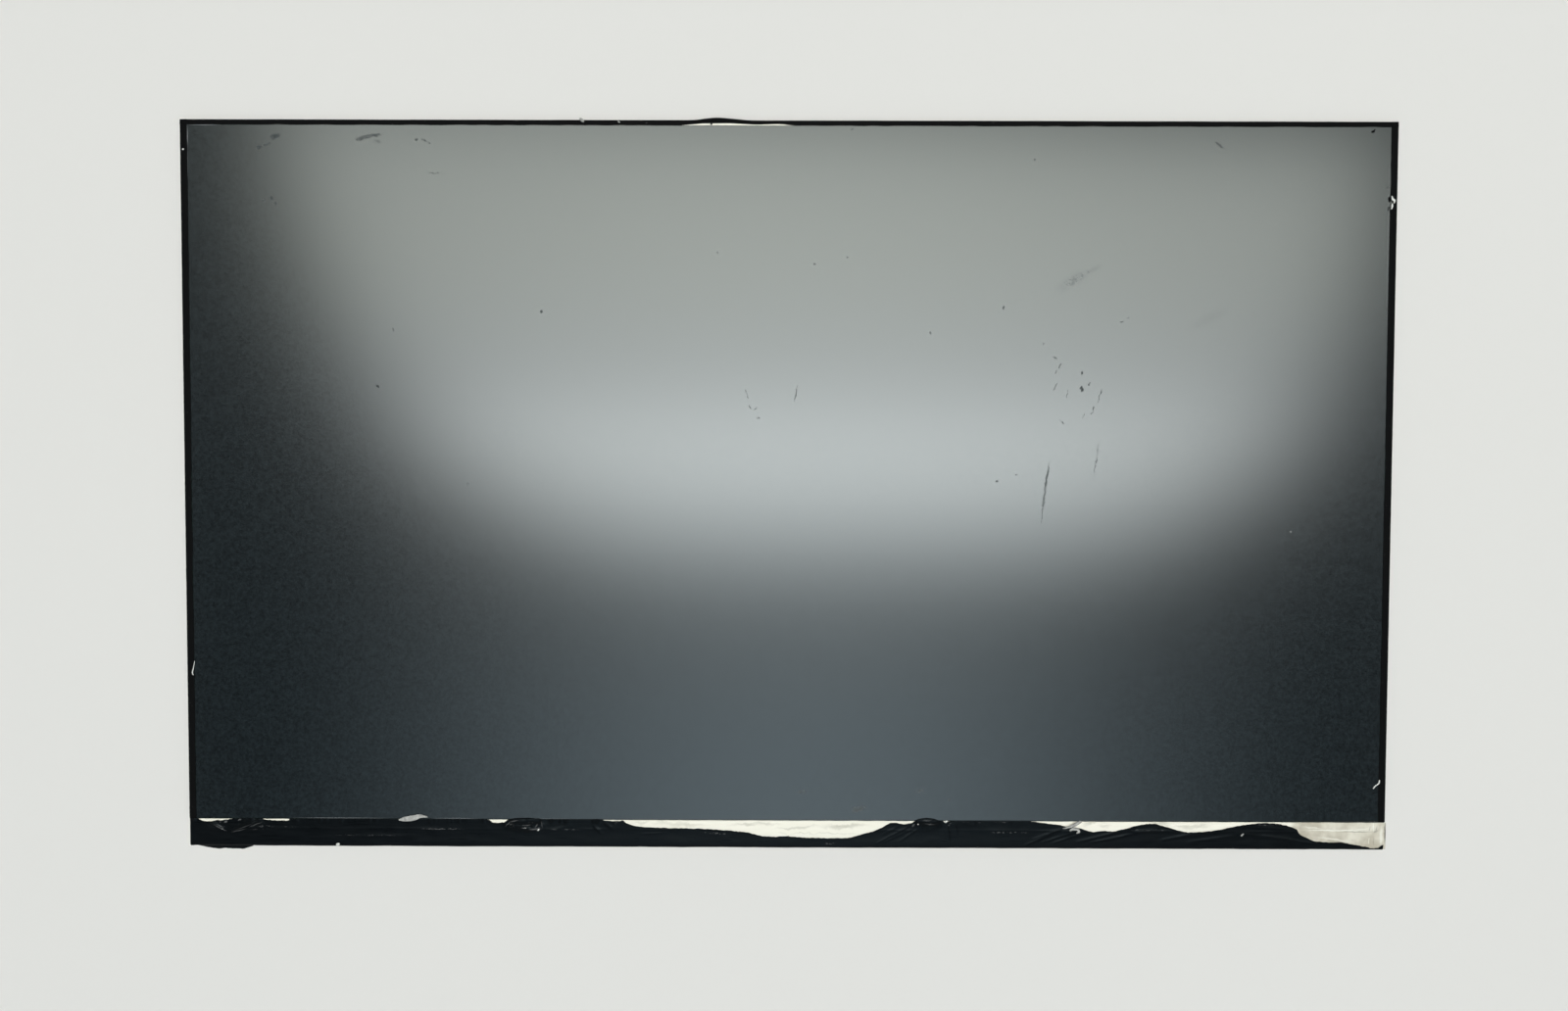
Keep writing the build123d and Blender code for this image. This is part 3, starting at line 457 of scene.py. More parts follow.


# Pale dotted marks on the black film: scuffs along the strip, and painted highlights on the crumples and the V
# creases; the columns of the screen marks, with heights above the outline
FILM_SCUFFS_AND_HIGHLIGHTS = [
    (-131.3, 5.05, 2.8, 0.28, 0, 0.8), (-125.3, 4.9, 2.1, 0.25, 0, 0.7), (-86.9, 4.55, 7.6, 0.22, 0, 0.7),
    (-105.0, 2.88, 11.0, 0.2, 0, 0.3), (-56.0, 4.5, 6.0, 0.2, 0, 0.4), (-17.9, 3.7, 4.4, 0.3, -3, 0.8),
    (10.9, 1.2, 1.6, 0.3, 0, 0.6), (56.3, 4.15, 6.0, 0.26, 0, 0.9), (91.2, 4.9, 5.5, 0.3, 0, 0.5),
    (119.5, 6.35, 4.6, 0.22, -4, 0.5), (-62.3, 4.55, 0.8, 0.5, 40, 1.0), (-65.7, 4.9, 1.3, 0.3, 0, 0.8),
    (-64.1, 6.35, 0.7, 0.25, 0, 0.8), (-69.0, 5.4, 0.8, 1.2, 10, 0.4), (-42.8, 6.2, 0.6, 0.3, 30, 0.7),
    (-141.8, 4.6, 0.8, 0.3, 40, 0.6), (-143.8, 5.4, 1.0, 0.25, -40, 0.5),
    (-137.5, 6.7, 0.8, 0.3, 30, 0.8), (36.0, 6.2, 0.5, 0.35, 30, 0.7), (41.0, 6.2, 0.7, 0.3, 40, 0.7),
    (44.5, 6.75, 1.6, 0.2, 0, 0.6), (49.0, 6.7, 1.2, 0.2, 0, 0.6), (54.0, 6.7, 2.0, 0.18, 0, 0.5),
    (-142.2, 6.3, 0.9, 0.25, 20, 0.7), (-146.4, 6.0, 0.8, 0.16, -35, 0.5),
    (-132.4, 4.3, 3.0, 0.14, 3, 0.4),
]

# Painted highlights: pale unbroken lines along the sharp folds of the black film, where the folds would catch
# the light: the same columns
FOLD_HIGHLIGHTS = [
    (-142.4, 4.65, 2.1, 0.2, -29, 0.6), (-142.4, 5.15, 1.3, 0.16, -29, 0.4),
    (-137.8, 4.0, 2.5, 0.18, 14, 0.3), (-133.5, 5.5, 2.3, 0.18, 22, 0.35),
    (-136.3, 5.0, 2.6, 0.15, 19, 0.25), (-141.0, 6.25, 0.6, 0.35, 20, 0.7),
    (-68.4, 6.75, 1.4, 0.22, 13, 0.45), (-65.3, 5.7, 1.5, 0.22, 5, 0.45), (-63.2, 4.6, 1.8, 0.26, 2, 0.6),
    (-62.8, 5.5, 0.8, 0.25, 60, 0.5), (-70.0, 5.9, 1.3, 0.2, 48, 0.35), (-61.5, 5.8, 1.3, 0.2, 95, 0.3),
    (35.2, 7.3, 1.5, 0.2, 3, 0.35), (36.0, 6.3, 1.7, 0.2, -7, 0.35), (31.9, 5.9, 0.6, 0.3, 50, 0.5),
]


def black_film_finish():
    """Satin black film: uneven gloss, fine pull lines along the strip, pale dots that are partly scuffs and
    partly painted highlights, and painted highlights along the folds.
    """
    finish, tree, shader = new_finish("satin_black_film")
    place = object_place(tree)
    # Pale dotted marks: scuffs, and painted highlights on the crumples and creases
    rows = strip_rows(FILM_SCUFFS_AND_HIGHLIGHTS)
    scuffs_and_highlights = marked(tree, wobbled(tree, place, 1400.0, 0.4 * MM), rows, ledge_face)
    flattened = stretched(tree, place, (1.0, 1.6, 1.0))
    dots = ranged(tree, noise(tree, flattened, 1500.0, 2.0), 0.5, 0.66, 0.0, 1.0)
    pulled = noise(tree, stretched(tree, place, (0.12, 1.0, 1.0)), 1600.0, 2.0)
    base = mixed(tree, noise(tree, place, 160.0, 3.0), grey(0.002, -0.25), grey(0.0042, -0.25))
    # Painted highlights along the sharp folds
    rows = strip_rows(FOLD_HIGHLIGHTS)
    lines = marked(tree, wobbled(tree, place, 900.0, 0.5 * MM), rows, ledge_face)
    # Pale colour of the scuffs and the painted highlights together
    pale = combine(tree, "MAXIMUM", combine(tree, "MULTIPLY", scuffs_and_highlights, dots), lines)
    tree.links.new(mixed(tree, pale, base, grey(0.16)), shader.inputs["Base Color"])
    tree.links.new(ranged(tree, pulled, 0.3, 0.7, 0.26, 0.4), shader.inputs["Roughness"])
    shader.inputs["Specular IOR Level"].default_value = 0.06
    shader.inputs["Specular Tint"].default_value = (0.82, 1.0, 1.06, 1.0)
    raised(tree, shader, pulled, 0.012 * MM)
    return finish


# Grey smears on the cream film: the same columns
CREAM_SMEARS = [
    (-36.5, 6.3, 3.0, 0.4, 0, 0.4), (-27.0, 5.9, 9.0, 0.7, -3, 0.45), (-8.0, 5.9, 8.0, 0.55, 2, 0.55),
    (3.0, 5.2, 7.0, 0.5, 3, 0.6), (14.5, 5.6, 8.0, 0.8, 3, 0.62), (8.0, 3.6, 14.0, 0.3, 0, 0.45),
    (76.0, 6.4, 3.0, 0.7, 20, 0.5), (80.0, 5.8, 2.5, 0.6, 0, 0.4), (102.0, 5.8, 6.0, 0.9, 4, 0.55),
    (94.0, 6.5, 4.0, 0.7, -6, 0.55), (-145.0, 6.8, 2.0, 0.2, 0, 0.2), (136.0, 3.2, 5.0, 0.5, -8, 0.3),
    (131.0, 6.3, 3.0, 0.7, 0, 0.3),
]

# Pale lines along the creases of the cream film, which are painted highlights, and dark marks, which are
# partly stains and partly painted shade under a crease and along the right end: the same columns
CREAM_CREASE_HIGHLIGHTS = [
    (138.5, 4.95, 11.0, 0.25, 0, 0.9), (147.4, 5.8, 1.7, 0.22, 90, 0.9), (146.4, 2.4, 1.2, 0.2, 88, 0.6),
    (144.5, 5.3, 3.0, 0.3, 4, 0.6), (-2.0, 3.3, 26.0, 0.3, 0, 0.5), (149.4, 3.6, 3.6, 0.55, 90, 0.7),
    (132.0, 5.6, 3.5, 0.35, -6, 0.5), (138.0, 2.6, 6.0, 0.35, -8, 0.6),
]
CREAM_STAINS_AND_SHADE = [
    (150.35, 4.2, 3.6, 0.3, 90, 0.85), (148.2, 5.3, 1.2, 0.22, 80, 0.35),
    (146.5, 5.4, 1.0, 0.18, 80, 0.3), (143.2, 4.6, 5.2, 0.2, 1, 0.4), (148.0, 4.75, 0.9, 0.4, 25, 0.4),
    (147.5, 2.2, 1.4, 0.25, 88, 0.25),
]


def cream_film_finish():
    """Cream film: faint smears, fine fibres along the strip, a duller right end, painted highlights along the
    creases, and dark marks that are partly stains and partly painted shade.
    """
    finish, tree, shader = new_finish("cream_film")
    place = object_place(tree)
    rows = strip_rows(CREAM_SMEARS)
    smears = marked(tree, wobbled(tree, place, 500.0, 2.0 * MM), rows, cream_high.z)
    streaks = noise(tree, stretched(tree, place, (0.25, 1.0, 1.0)), 900.0, 3.0)
    streaked = combine(tree, "MULTIPLY", smears, ranged(tree, streaks, 0.3, 0.65, 0.3, 1.0))
    along = add_node(tree, "ShaderNodeSeparateXYZ", {"Vector": wobbled(tree, place, 300.0, 2.0 * MM)})
    duller = ranged(tree, along.outputs["X"], 126.3 * MM, 128.3 * MM, 0.0, 1.0, smooth=True)
    blotches = ranged(tree, noise(tree, place, 260.0, 4.0), 0.35, 0.65, 0.4, 1.0)
    base = mixed(tree, streaks, (0.9, 0.87, 0.75, 1), (0.95, 0.925, 0.81, 1))
    base = mixed(tree, streaked, base, (0.44, 0.42, 0.34, 1))
    base = mixed(tree, combine(tree, "MULTIPLY", duller, blotches), base, (0.5, 0.455, 0.36, 1))
    # Painted highlights: pale lines along the creases
    rows = strip_rows(CREAM_CREASE_HIGHLIGHTS)
    creases = marked(tree, wobbled(tree, place, 900.0, 0.5 * MM), rows, cream_high.z)
    base = mixed(tree, creases, base, (0.88, 0.87, 0.78, 1))
    # Dark marks: stains, and painted shade under a crease and along the film's right end
    rows = strip_rows(CREAM_STAINS_AND_SHADE)
    stains = marked(tree, wobbled(tree, place, 900.0, 0.4 * MM), rows, cream_high.z)
    base = mixed(tree, stains, base, (0.06, 0.055, 0.045, 1))
    tree.links.new(base, shader.inputs["Base Color"])
    tree.links.new(ranged(tree, streaks, 0.3, 0.7, 0.45, 0.6), shader.inputs["Roughness"])
    shader.inputs["Specular IOR Level"].default_value = 0.25
    raised(tree, shader, streaks, 0.01 * MM)
    return finish


def speckled_finish(name, dark, light, scale, roughness, metallic=0.0, relief=0.01, stretch=(1, 1, 1)):
    """Plain finish with grain: noise between two colours, a range of gloss and a fine relief in mm."""
    finish, tree, shader = new_finish(name)
    place = stretched(tree, object_place(tree), stretch)
    grain = noise(tree, place, scale, 3.0)
    share = ranged(tree, grain, 0.3, 0.7, 0.0, 1.0)
    tree.links.new(mixed(tree, share, (*dark, 1), (*light, 1)), shader.inputs["Base Color"])
    tree.links.new(ranged(tree, grain, 0.3, 0.7, *roughness), shader.inputs["Roughness"])
    shader.inputs["Metallic"].default_value = metallic
    raised(tree, shader, grain, relief * MM)
    return finish


def chassis_finish():
    """Rolled sheet metal: fine rolling lines, cloudy gloss and a few dull handling stains."""
    finish, tree, shader = new_finish("rolled_sheet_metal")
    place = object_place(tree)
    lines = noise(tree, stretched(tree, place, (0.02, 1.0, 1.0)), 2200.0, 3.0)
    cloud = noise(tree, place, 28.0, 4.0)
    stain = ranged(tree, noise(tree, place, 14.0, 3.0), 0.6, 0.72, 0.0, 0.6)
    base = mixed(tree, lines, (0.5, 0.51, 0.52, 1), (0.62, 0.63, 0.64, 1))
    tree.links.new(mixed(tree, stain, base, (0.44, 0.43, 0.4, 1)), shader.inputs["Base Color"])
    gloss = ranged(tree, cloud, 0.3, 0.7, 0.3, 0.42)
    lined = combine(tree, "MULTIPLY", lines, 0.1)
    tree.links.new(combine(tree, "ADD", gloss, lined), shader.inputs["Roughness"])
    shader.inputs["Metallic"].default_value = 1.0
    raised(tree, shader, lines, 0.004 * MM)
    return finish


def board_finish():
    """Circuit board: green mask, lighter traces in runs along the board, and small tinned dots."""
    finish, tree, shader = new_finish("green_board_mask")
    place = object_place(tree)
    bent = wobbled(tree, stretched(tree, place, (0.35, 1.0, 1.0)), 180.0, 2.4 * MM)
    inputs = {"Vector": bent, "Scale": 220.0, "Distortion": 1.5}
    runs = add_node(tree, "ShaderNodeTexWave", inputs, bands_direction="Y")
    traces = ranged(tree, runs.outputs["Fac"], 0.62, 0.72, 0.0, 1.0)
    cells = add_node(tree, "ShaderNodeTexVoronoi", {"Vector": place, "Scale": 420.0, "Randomness": 0.85})
    dots = ranged(tree, cells.outputs["Distance"], 0.16, 0.2, 1.0, 0.0)
    base = mixed(tree, traces, (0.006, 0.05, 0.022, 1), (0.014, 0.105, 0.045, 1))
    tree.links.new(mixed(tree, dots, base, (0.42, 0.4, 0.34, 1)), shader.inputs["Base Color"])
    tree.links.new(ranged(tree, traces, 0.0, 1.0, 0.42, 0.3), shader.inputs["Roughness"])
    raised(tree, shader, traces, 0.02 * MM)
    return finish


def flex_finish():
    """Amber film with copper runs that cross the bend."""
    finish, tree, shader = new_finish("amber_flex")
    place = object_place(tree)
    runs = add_node(tree, "ShaderNodeTexWave", {"Vector": place, "Scale": 400.0}, bands_direction="X")
    copper = ranged(tree, runs.outputs["Fac"], 0.5, 0.62, 0.0, 1.0)
    shade = noise(tree, place, 300.0, 3.0)
    base = mixed(tree, shade, (0.2, 0.085, 0.018, 1), (0.27, 0.12, 0.026, 1))
    tree.links.new(mixed(tree, copper, base, (0.4, 0.2, 0.07, 1)), shader.inputs["Base Color"])
    tree.links.new(ranged(tree, shade, 0.3, 0.7, 0.25, 0.38), shader.inputs["Roughness"])
    raised(tree, shader, copper, 0.012 * MM)
    return finish


def capacitor_finish():
    """Small ceramic parts: tan bodies with tinned ends, told apart by the distance from each row's middle."""
    finish, tree, shader = new_finish("ceramic_parts")
    place = object_place(tree)
    low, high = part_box("capacitors")
    part_length = 1.0 * MM
    end_share = 0.28
    row_middle = (low.y + high.y) / 2
    row_offset = (high.y - low.y - part_length) / 2
    across = add_node(tree, "ShaderNodeSeparateXYZ", {"Vector": place}).outputs["Y"]
    from_middle = combine(tree, "ABSOLUTE", combine(tree, "SUBTRACT", across, row_middle), 0.0)
    from_row = combine(tree, "ABSOLUTE", combine(tree, "SUBTRACT", from_middle, row_offset), 0.0)
    ends = ranged(tree, from_row, end_share * part_length, (end_share + 0.02) * part_length, 0.0, 1.0)
    grain = noise(tree, place, 4000.0, 2.0)
    body = mixed(tree, grain, (0.2, 0.12, 0.065, 1), (0.28, 0.18, 0.1, 1))
    tree.links.new(mixed(tree, ends, body, (0.62, 0.61, 0.58, 1)), shader.inputs["Base Color"])
    tree.links.new(ends, shader.inputs["Metallic"])
    tree.links.new(ranged(tree, grain, 0.3, 0.7, 0.35, 0.5), shader.inputs["Roughness"])
    raised(tree, shader, grain, 0.006 * MM)
    return finish


def fleck_finish():
    """Dull white of loose flecks and dust."""
    return speckled_finish("white_flecks", (0.62, 0.62, 0.58), (0.86, 0.86, 0.82), 2500.0, (0.6, 0.8))


def all_finishes():
    """Finish of every material slot of the record."""
    return {
        "screen_film": screen_finish(),
        "black_film": tape_finish(),
        "cream_film": cream_film_finish(),
        "chassis_metal": chassis_finish(),
        "board": board_finish(),
        "flex": flex_finish(),
        "capacitor": capacitor_finish(),
        "polariser_film": speckled_finish(
            "rear_polariser_film", (0.02, 0.02, 0.024), (0.03, 0.03, 0.034), 800.0, (0.2, 0.3)),
        "grey_film": speckled_finish(
            "grey_torn_film", (0.2, 0.2, 0.19), (0.5, 0.5, 0.47), 900.0, (0.4, 0.6), relief=0.03),
        "frame_moulding": speckled_finish(
            "white_moulding", (0.7, 0.7, 0.67), (0.78, 0.78, 0.75), 900.0, (0.45, 0.55)),
        "rail_moulding": speckled_finish(
            "black_moulding", (0.012, 0.012, 0.013), (0.022, 0.022, 0.024), 1500.0, (0.45, 0.6), relief=0.02),
        "reflector": speckled_finish(
            "white_reflector_sheet", (0.82, 0.83, 0.84), (0.88, 0.89, 0.9), 400.0, (0.3, 0.4)),
        "light_guide": speckled_finish(
            "clear_guide_plate", (0.66, 0.74, 0.76), (0.74, 0.82, 0.83), 300.0, (0.08, 0.14)),
        "optical_sheet": speckled_finish(
            "hazy_sheet", (0.68, 0.7, 0.7), (0.78, 0.8, 0.8), 1200.0, (0.35, 0.5)),
        "adhesive": speckled_finish(
            "black_adhesive", (0.01, 0.01, 0.01), (0.02, 0.02, 0.02), 2000.0, (0.6, 0.75), relief=0.03),
        "cell_glass": speckled_finish(
            "edge_glass", (0.01, 0.017, 0.015), (0.018, 0.028, 0.025), 500.0, (0.06, 0.12), relief=0.001),
        "cell_fill": speckled_finish(
            "cell_fill", (0.03, 0.028, 0.022), (0.05, 0.045, 0.035), 900.0, (0.3, 0.45)),
        "lamp_flex": speckled_finish(
            "white_flex", (0.72, 0.72, 0.68), (0.8, 0.8, 0.77), 700.0, (0.35, 0.45)),
        "lamp": speckled_finish(
            "lamp_body", (0.75, 0.68, 0.36), (0.85, 0.8, 0.55), 1600.0, (0.3, 0.45)),
        "chip": speckled_finish(
            "chip_epoxy", (0.01, 0.01, 0.011), (0.02, 0.02, 0.021), 5000.0, (0.45, 0.6)),
        "ferrite": speckled_finish(
            "ferrite", (0.035, 0.034, 0.033), (0.07, 0.068, 0.065), 3500.0, (0.5, 0.65), relief=0.02),
        "connector_plastic": speckled_finish(
            "connector_plastic", (0.5, 0.46, 0.36), (0.58, 0.54, 0.44), 2500.0, (0.4, 0.5)),
        "connector_metal": speckled_finish(
            "tinned_steel", (0.56, 0.56, 0.55), (0.68, 0.68, 0.67), 900.0, (0.22, 0.36),
            metallic=1.0, relief=0.004, stretch=(0.1, 1, 1)),
        "contact": speckled_finish(
            "gilt_contacts", (0.66, 0.48, 0.16), (0.78, 0.6, 0.25), 2500.0, (0.2, 0.32), 1.0, 0.003),
    }


def dress_nodes(finishes):
    """Each node that stays takes the finish of its own slot."""
    for node in nodes.values():
        for material_slot in node.material_slots:
            slot = material_slot.material.name.split(".")[0]
            material_slot.material = finishes[slot]


def wrapped_points(along, reach, radius, lift):
    """Film on the ledge that turns half round the bottom edge. Reach is the length along the film from
    where the bend starts: up the ledge above 0, round the bend below it, then along the back. Lift
    pushes each point out along the film's own normal."""
    angle = np.clip(-reach / radius, 0, np.pi)
    front = np.maximum(reach, 0)
    back = np.maximum(-reach - np.pi * radius, 0)
    outer = radius + lift
    y = bend_y + front - outer * np.sin(angle) + back
    z = bend_z + outer * np.cos(angle)
    return np.stack(np.broadcast_arrays(along, y, z), axis=-1)


def edge_reach(height_mm, radius):
    """Length along the film up to a height above the bottom outline, also where that is on the bend."""
    above = height_mm * MM - black_radius
    on_bend = -radius * np.arcsin(np.clip(-above / radius, 0, 1))
    return np.where(above > 0, above, on_bend)


def row_reaches(lower, upper, radius):
    """Reach of each row of a film, from each column's lower end to the outermost line of the bend, and
    from there to the column's upper end, with closer rows round the bend."""
    outermost = -np.pi * radius / 2
    below = np.linspace(0, 1, 11)[:-1, None]
    above = np.linspace(0, 1, 38)[:, None] ** 1.3
    lower_rows = lower + (outermost - lower) * below
    upper_rows = outermost + (upper - outermost) * above
    return np.concatenate([lower_rows, upper_rows])


def film_end(along, radius):
    """Lower end of a film's reach: the end of its back flap, or short of it at the connector's mouth."""
    whole = -np.pi * radius - BACK_FLAP
    short = -radius * np.arccos((board_low.z - bend_z) / radius)
    at_mouth = (along > connector_low.x - CONNECTOR_CUT) & (along < connector_high.x + CONNECTOR_CUT)
    return np.where(at_mouth, short, whole)


def film_height(reach):
    """Height above the bottom outline, in millimetres, taken along the film."""
    return (reach + black_radius) / MM


def torn_black_film(finish):
    """Black film on the strip: its upper end follows the torn edge with fine jags; wrinkles, crumples,
    a crease over the ledge's end and curled torn edges lift it; it climbs over the glass where the torn
    edge does, and hangs out past the bottom outline along the ragged hem."""
    along = np.arange(film - half_width, half_width - film, FILM_STEP)
    place = along / MM
    fine_jags = FINE_JAG * lattice_noise(3, place, 0 * place, FINE_JAG_CELL)
    broad_jags = BROAD_JAG * lattice_noise(4, place, 0 * place, BROAD_JAG_CELL)
    edge = curve_through(TORN_EDGE, place)
    edge = edge + (fine_jags + broad_jags) * ease((OVER_GLASS + JAG_FADE - edge) / JAG_FADE)
    upper = edge_reach(edge, black_radius)
    reach = row_reaches(film_end(along, black_radius), upper, black_radius)
    height = film_height(reach)
    slack = SLACK * (1 + lattice_noise(5, place, height, SLACK_CELL)) * ease((SLACK_TOP - height) / SLACK_FADE)
    bell = np.exp(-(((height - LEDGE_CREASE_HEIGHT) / LEDGE_CREASE_WIDTH) ** 2))
    crease = LEDGE_CREASE * bell * (1 + lattice_noise(6, place, 0 * height, 6.0))
    ripple = RIPPLE * (1 + lattice_noise(7, place, 2.2 * height, 2.6))
    from_edge = edge - height
    curl = CURL * np.exp(-from_edge / CURL_REACH) * (0.6 + 0.4 * lattice_noise(8, place, 0 * height, 3.0))
    folds = ridges(place, height, WRINKLES) + lumps(place, height, CRUMPLES, 9)
    lift = folds + slack + crease + ripple + curl
    climbs = ease((edge - OVER_GLASS) / 0.15)
    over = (screen_face + film - ledge_face) / MM * climbs * ease((height - CLIMB_START) / CLIMB_LENGTH)
    low_room = (screen_face - ledge_face) / MM * (1 - climbs)
    lift = np.where(height > GLASS_SIDE, np.minimum(lift, low_room + 10 * climbs), lift) + over
    lift = lift * ease((height - LIFT_END) / LIFT_FADE)
    room = (cad_box[1][2] - ledge_face) / MM
    knee = KNEE_SHARE * room
    lift = np.where(lift > knee, knee + (room - knee) * np.tanh((lift - knee) / (room - knee)), lift)
    points = wrapped_points(along, reach, black_radius, lift * MM)
    hang_hem(points, place, height)
    piece = surface_piece("torn_black_film", points, finish, film)
    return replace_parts(piece, "bottom_black_film", "black_film_fold")


def hang_hem(points, place, height):
    """Along the ragged hem the film leaves the bend and runs straight out to the hem's own edge."""
    start = RAGGED_HEM[0][0]
    end = RAGGED_HEM[-1][0]
    within = ease((place - start) / HEM_FADE) * ease((end - place) / HEM_FADE)
    edge_y = bottom_outline + curve_through(RAGGED_HEM, place) * MM
    edge_y = edge_y + 0.05 * MM * lattice_noise(12, place, 0 * place, 0.5)
    leave = 0.0
    stop = film_height(film_end(points[0, :, 0] * 0 + half_width, black_radius))
    share = ease((leave - height) / (leave - stop)) ** 0.7
    hem_z = bend_z - black_radius / 4 - 0.1 * MM * (1 + lattice_noise(13, place, 0 * place, 2.0))
    weight = within * np.where(height < leave, 1.0, 0.0)
    start_y = bottom_outline
    start_z = bend_z
    target_y = start_y + (edge_y - start_y) * share
    target_z = start_z + (hem_z - start_z) * share
    points[..., 1] += weight * (target_y - points[..., 1])
    points[..., 2] += weight * (target_z - points[..., 2])


def creased_cream_film(finish):
    """Cream film under the black one: flat on the ledge, round the bottom edge, with low creases and a
    soft ripple; its top edge stops a little below the glass."""
    low_x = cream_low.x
    high_x = cream_high.x
    along = np.append(np.arange(low_x, high_x, 2 * FILM_STEP), high_x)
    place = along / MM
    top = (cream_high.y - bottom_outline - CREAM_GAP) / MM + 0.03 * lattice_noise(21, place, 0 * place, 1.5)
    upper = edge_reach(top, cream_radius)
    reach = row_reaches(film_end(along, cream_radius), upper, cream_radius)
    height = film_height(reach)
    bare = ease((height - curve_through(TORN_EDGE, place)) / 0.5)
    ripple = 0.012 * (1 + lattice_noise(22, place, 2 * height, 3.5))
    lift = (ridges(place, height, CREASES) + ripple) * bare
    points = wrapped_points(along, reach, cream_radius, lift * MM)
    piece = surface_piece("creased_cream_film", points, finish, film)
    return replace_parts(piece, "bottom_white_film")


def folded_tape(run, inner, outer, rise, lip_top, flap_end):
    """Tape folded over an edge, as (run, across, height) points: back flap, rounded corner, wall,
    rounded corner, then the lip to its inner edge, which may rise. Every argument is along the run."""
    turn = np.radians(np.linspace(0, 90, 5))
    corner = TAPE_CORNER
    rows = [(flap_end, back_face + 0 * run), ((flap_end + outer - corner) / 2, back_face + 0 * run)]
    rows += [
        (outer - corner + corner * np.sin(a), back_face + corner * (1 - np.cos(a)) + 0 * run)
        for a in turn
    ]
    rows += [(outer - corner * (1 - np.cos(a)), lip_top - corner * (1 - np.sin(a))) for a in turn]
    for share in np.linspace(0, 1, 9)[1:]:
        rows.append((outer - corner + (inner - outer + corner) * share, lip_top + rise * ease(share) ** 1.4))
    across = np.stack([row[0] + 0 * run for row in rows])
    height = np.stack([row[1] + 0 * run for row in rows])
    return np.stack(np.broadcast_arrays(run, across, height), axis=-1)


def side_tape(name, side, finish, node, bite):
    """Tape along one side edge: the lip's inner edge wavers a little, and a bite may be out of it."""
    run = np.linspace(right_tape_low.y, right_tape_high.y, 420)
    place = run / MM
    seed = 31 if side > 0 else 41
    inner_nominal = screen_high.x + 0.1 * MM
    inner = inner_nominal + 0.09 * MM * lattice_noise(seed, place, 0 * place, 7.0)
    inner = inner + 0.05 * MM * lattice_noise(seed + 1, place, 0 * place, 1.2)
    outer = half_width - 0.03 * MM * (1 + lattice_noise(seed + 2, place, 0 * place, 11.0))
    if bite:
        bite_y, bite_half, bite_depth = bite
        share = np.clip(1 - np.abs((place - bite_y) / bite_half), 0, 1)
        jagged = 0.75 + 0.4 * lattice_noise(seed + 3, place, 0 * place, 0.5)
        inner = inner + bite_depth * MM * ease(share * 1.6) * jagged
    lip = lip_face - 0.01 * MM * (1 + lattice_noise(seed + 4, place, 0 * place, 5.0))
    rise = 0.05 * MM * (1 + lattice_noise(seed + 5, place, 0 * place, 4.0))
    folded = folded_tape(run, inner, outer, rise, lip, half_width - TAPE_FLAP)
    points = folded[..., [1, 0, 2]] * np.array([side, 1, 1])
    if side < 0:
        points = points[:, ::-1]
    piece = surface_piece(name, points, finish, film)
    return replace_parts(piece, node)


# Lifted stretch of the top tape: place from the middle, how far each edge moves out
LIFT_OUTER = [
    (-24.5, 0.0), (-22.5, 0.1), (-20.3, 0.42), (-17.7, 0.63), (-13.5, 0.35), (-9.7, 0.04), (-7.5, 0.0),
]
LIFT_INNER = [
    (-27.1, 0.0), (-24.0, 0.16), (-20.5, 0.45), (-13.3, 0.46), (-10.5, 0.3), (-8.0, 0.16), (-5.5, 0.24),
    (-2.5, 0.3), (-0.5, 0.22), (1.6, 0.0),
]


def top_tape(finish):
    """Tape along the top edge: its lip and wall bulge out along the lifted stretch, where the lip's
    inner edge also stands up."""
    run = np.linspace(-glass_x, glass_x, 760)
    place = run / MM
    lifted_out = curve_through(LIFT_OUTER, place)
    lifted_in = curve_through(LIFT_INNER, place)
    outer = top_outline - 0.025 * MM * (1 + lattice_noise(51, place, 0 * place, 9.0)) + lifted_out * MM
    inner = sliver_low.y + 0.06 * MM * lattice_noise(52, place, 0 * place, 3.0) + lifted_in * MM
    lip = lip_face - 0.005 * MM * (1 + lattice_noise(53, place, 0 * place, 5.0))
    rise = 0.03 * MM * (1 + lattice_noise(54, place, 0 * place, 4.0)) + 0.32 * MM * lifted_in
    folded = folded_tape(run, inner, outer, rise, lip, top_outline - TAPE_FLAP)
    piece = surface_piece("lifted_top_tape", folded[:, ::-1], finish, film)
    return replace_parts(piece, "top_edge_tape")


def leaf_points(spine, half_widths, lift, rows=9, columns=40):
    """Curled scrap: a grid along a spine of (x, height) points, with a half width at each point and
    its edges lifted by the square of the distance from the spine."""
    share = np.linspace(0, 1, columns)
    knots = np.linspace(0, 1, len(spine))
    x = curve_through(list(zip(knots, [p[0] for p in spine])), share)
    h = curve_through(list(zip(knots, [p[1] for p in spine])), share)
    half = curve_through(list(zip(knots, half_widths)), share)
    run_x = np.gradient(x)
    run_h = np.gradient(h)
    size = np.hypot(run_x, run_h)
    across = np.linspace(-1, 1, rows)[:, None]
    px = x - across * half * run_h / size
    ph = h + across * half * run_x / size
    return px, ph, lift * across ** 2


def scrap_piece(name, spine, half_widths, level, lift, arch, finish):
    """Thin curled scrap of film lying at a level, arched along its spine."""
    px, ph, curl = leaf_points(spine, half_widths, lift)
    share = np.linspace(0, 1, px.shape[1])
    rise = arch * np.sin(np.pi * share) + curl + 0.03 * (1 + lattice_noise(61, px, ph, 0.7))
    points = np.stack([px * MM, bottom_outline + ph * MM, level + rise * MM], axis=-1)
    return surface_piece(name, points, finish, film / 2)


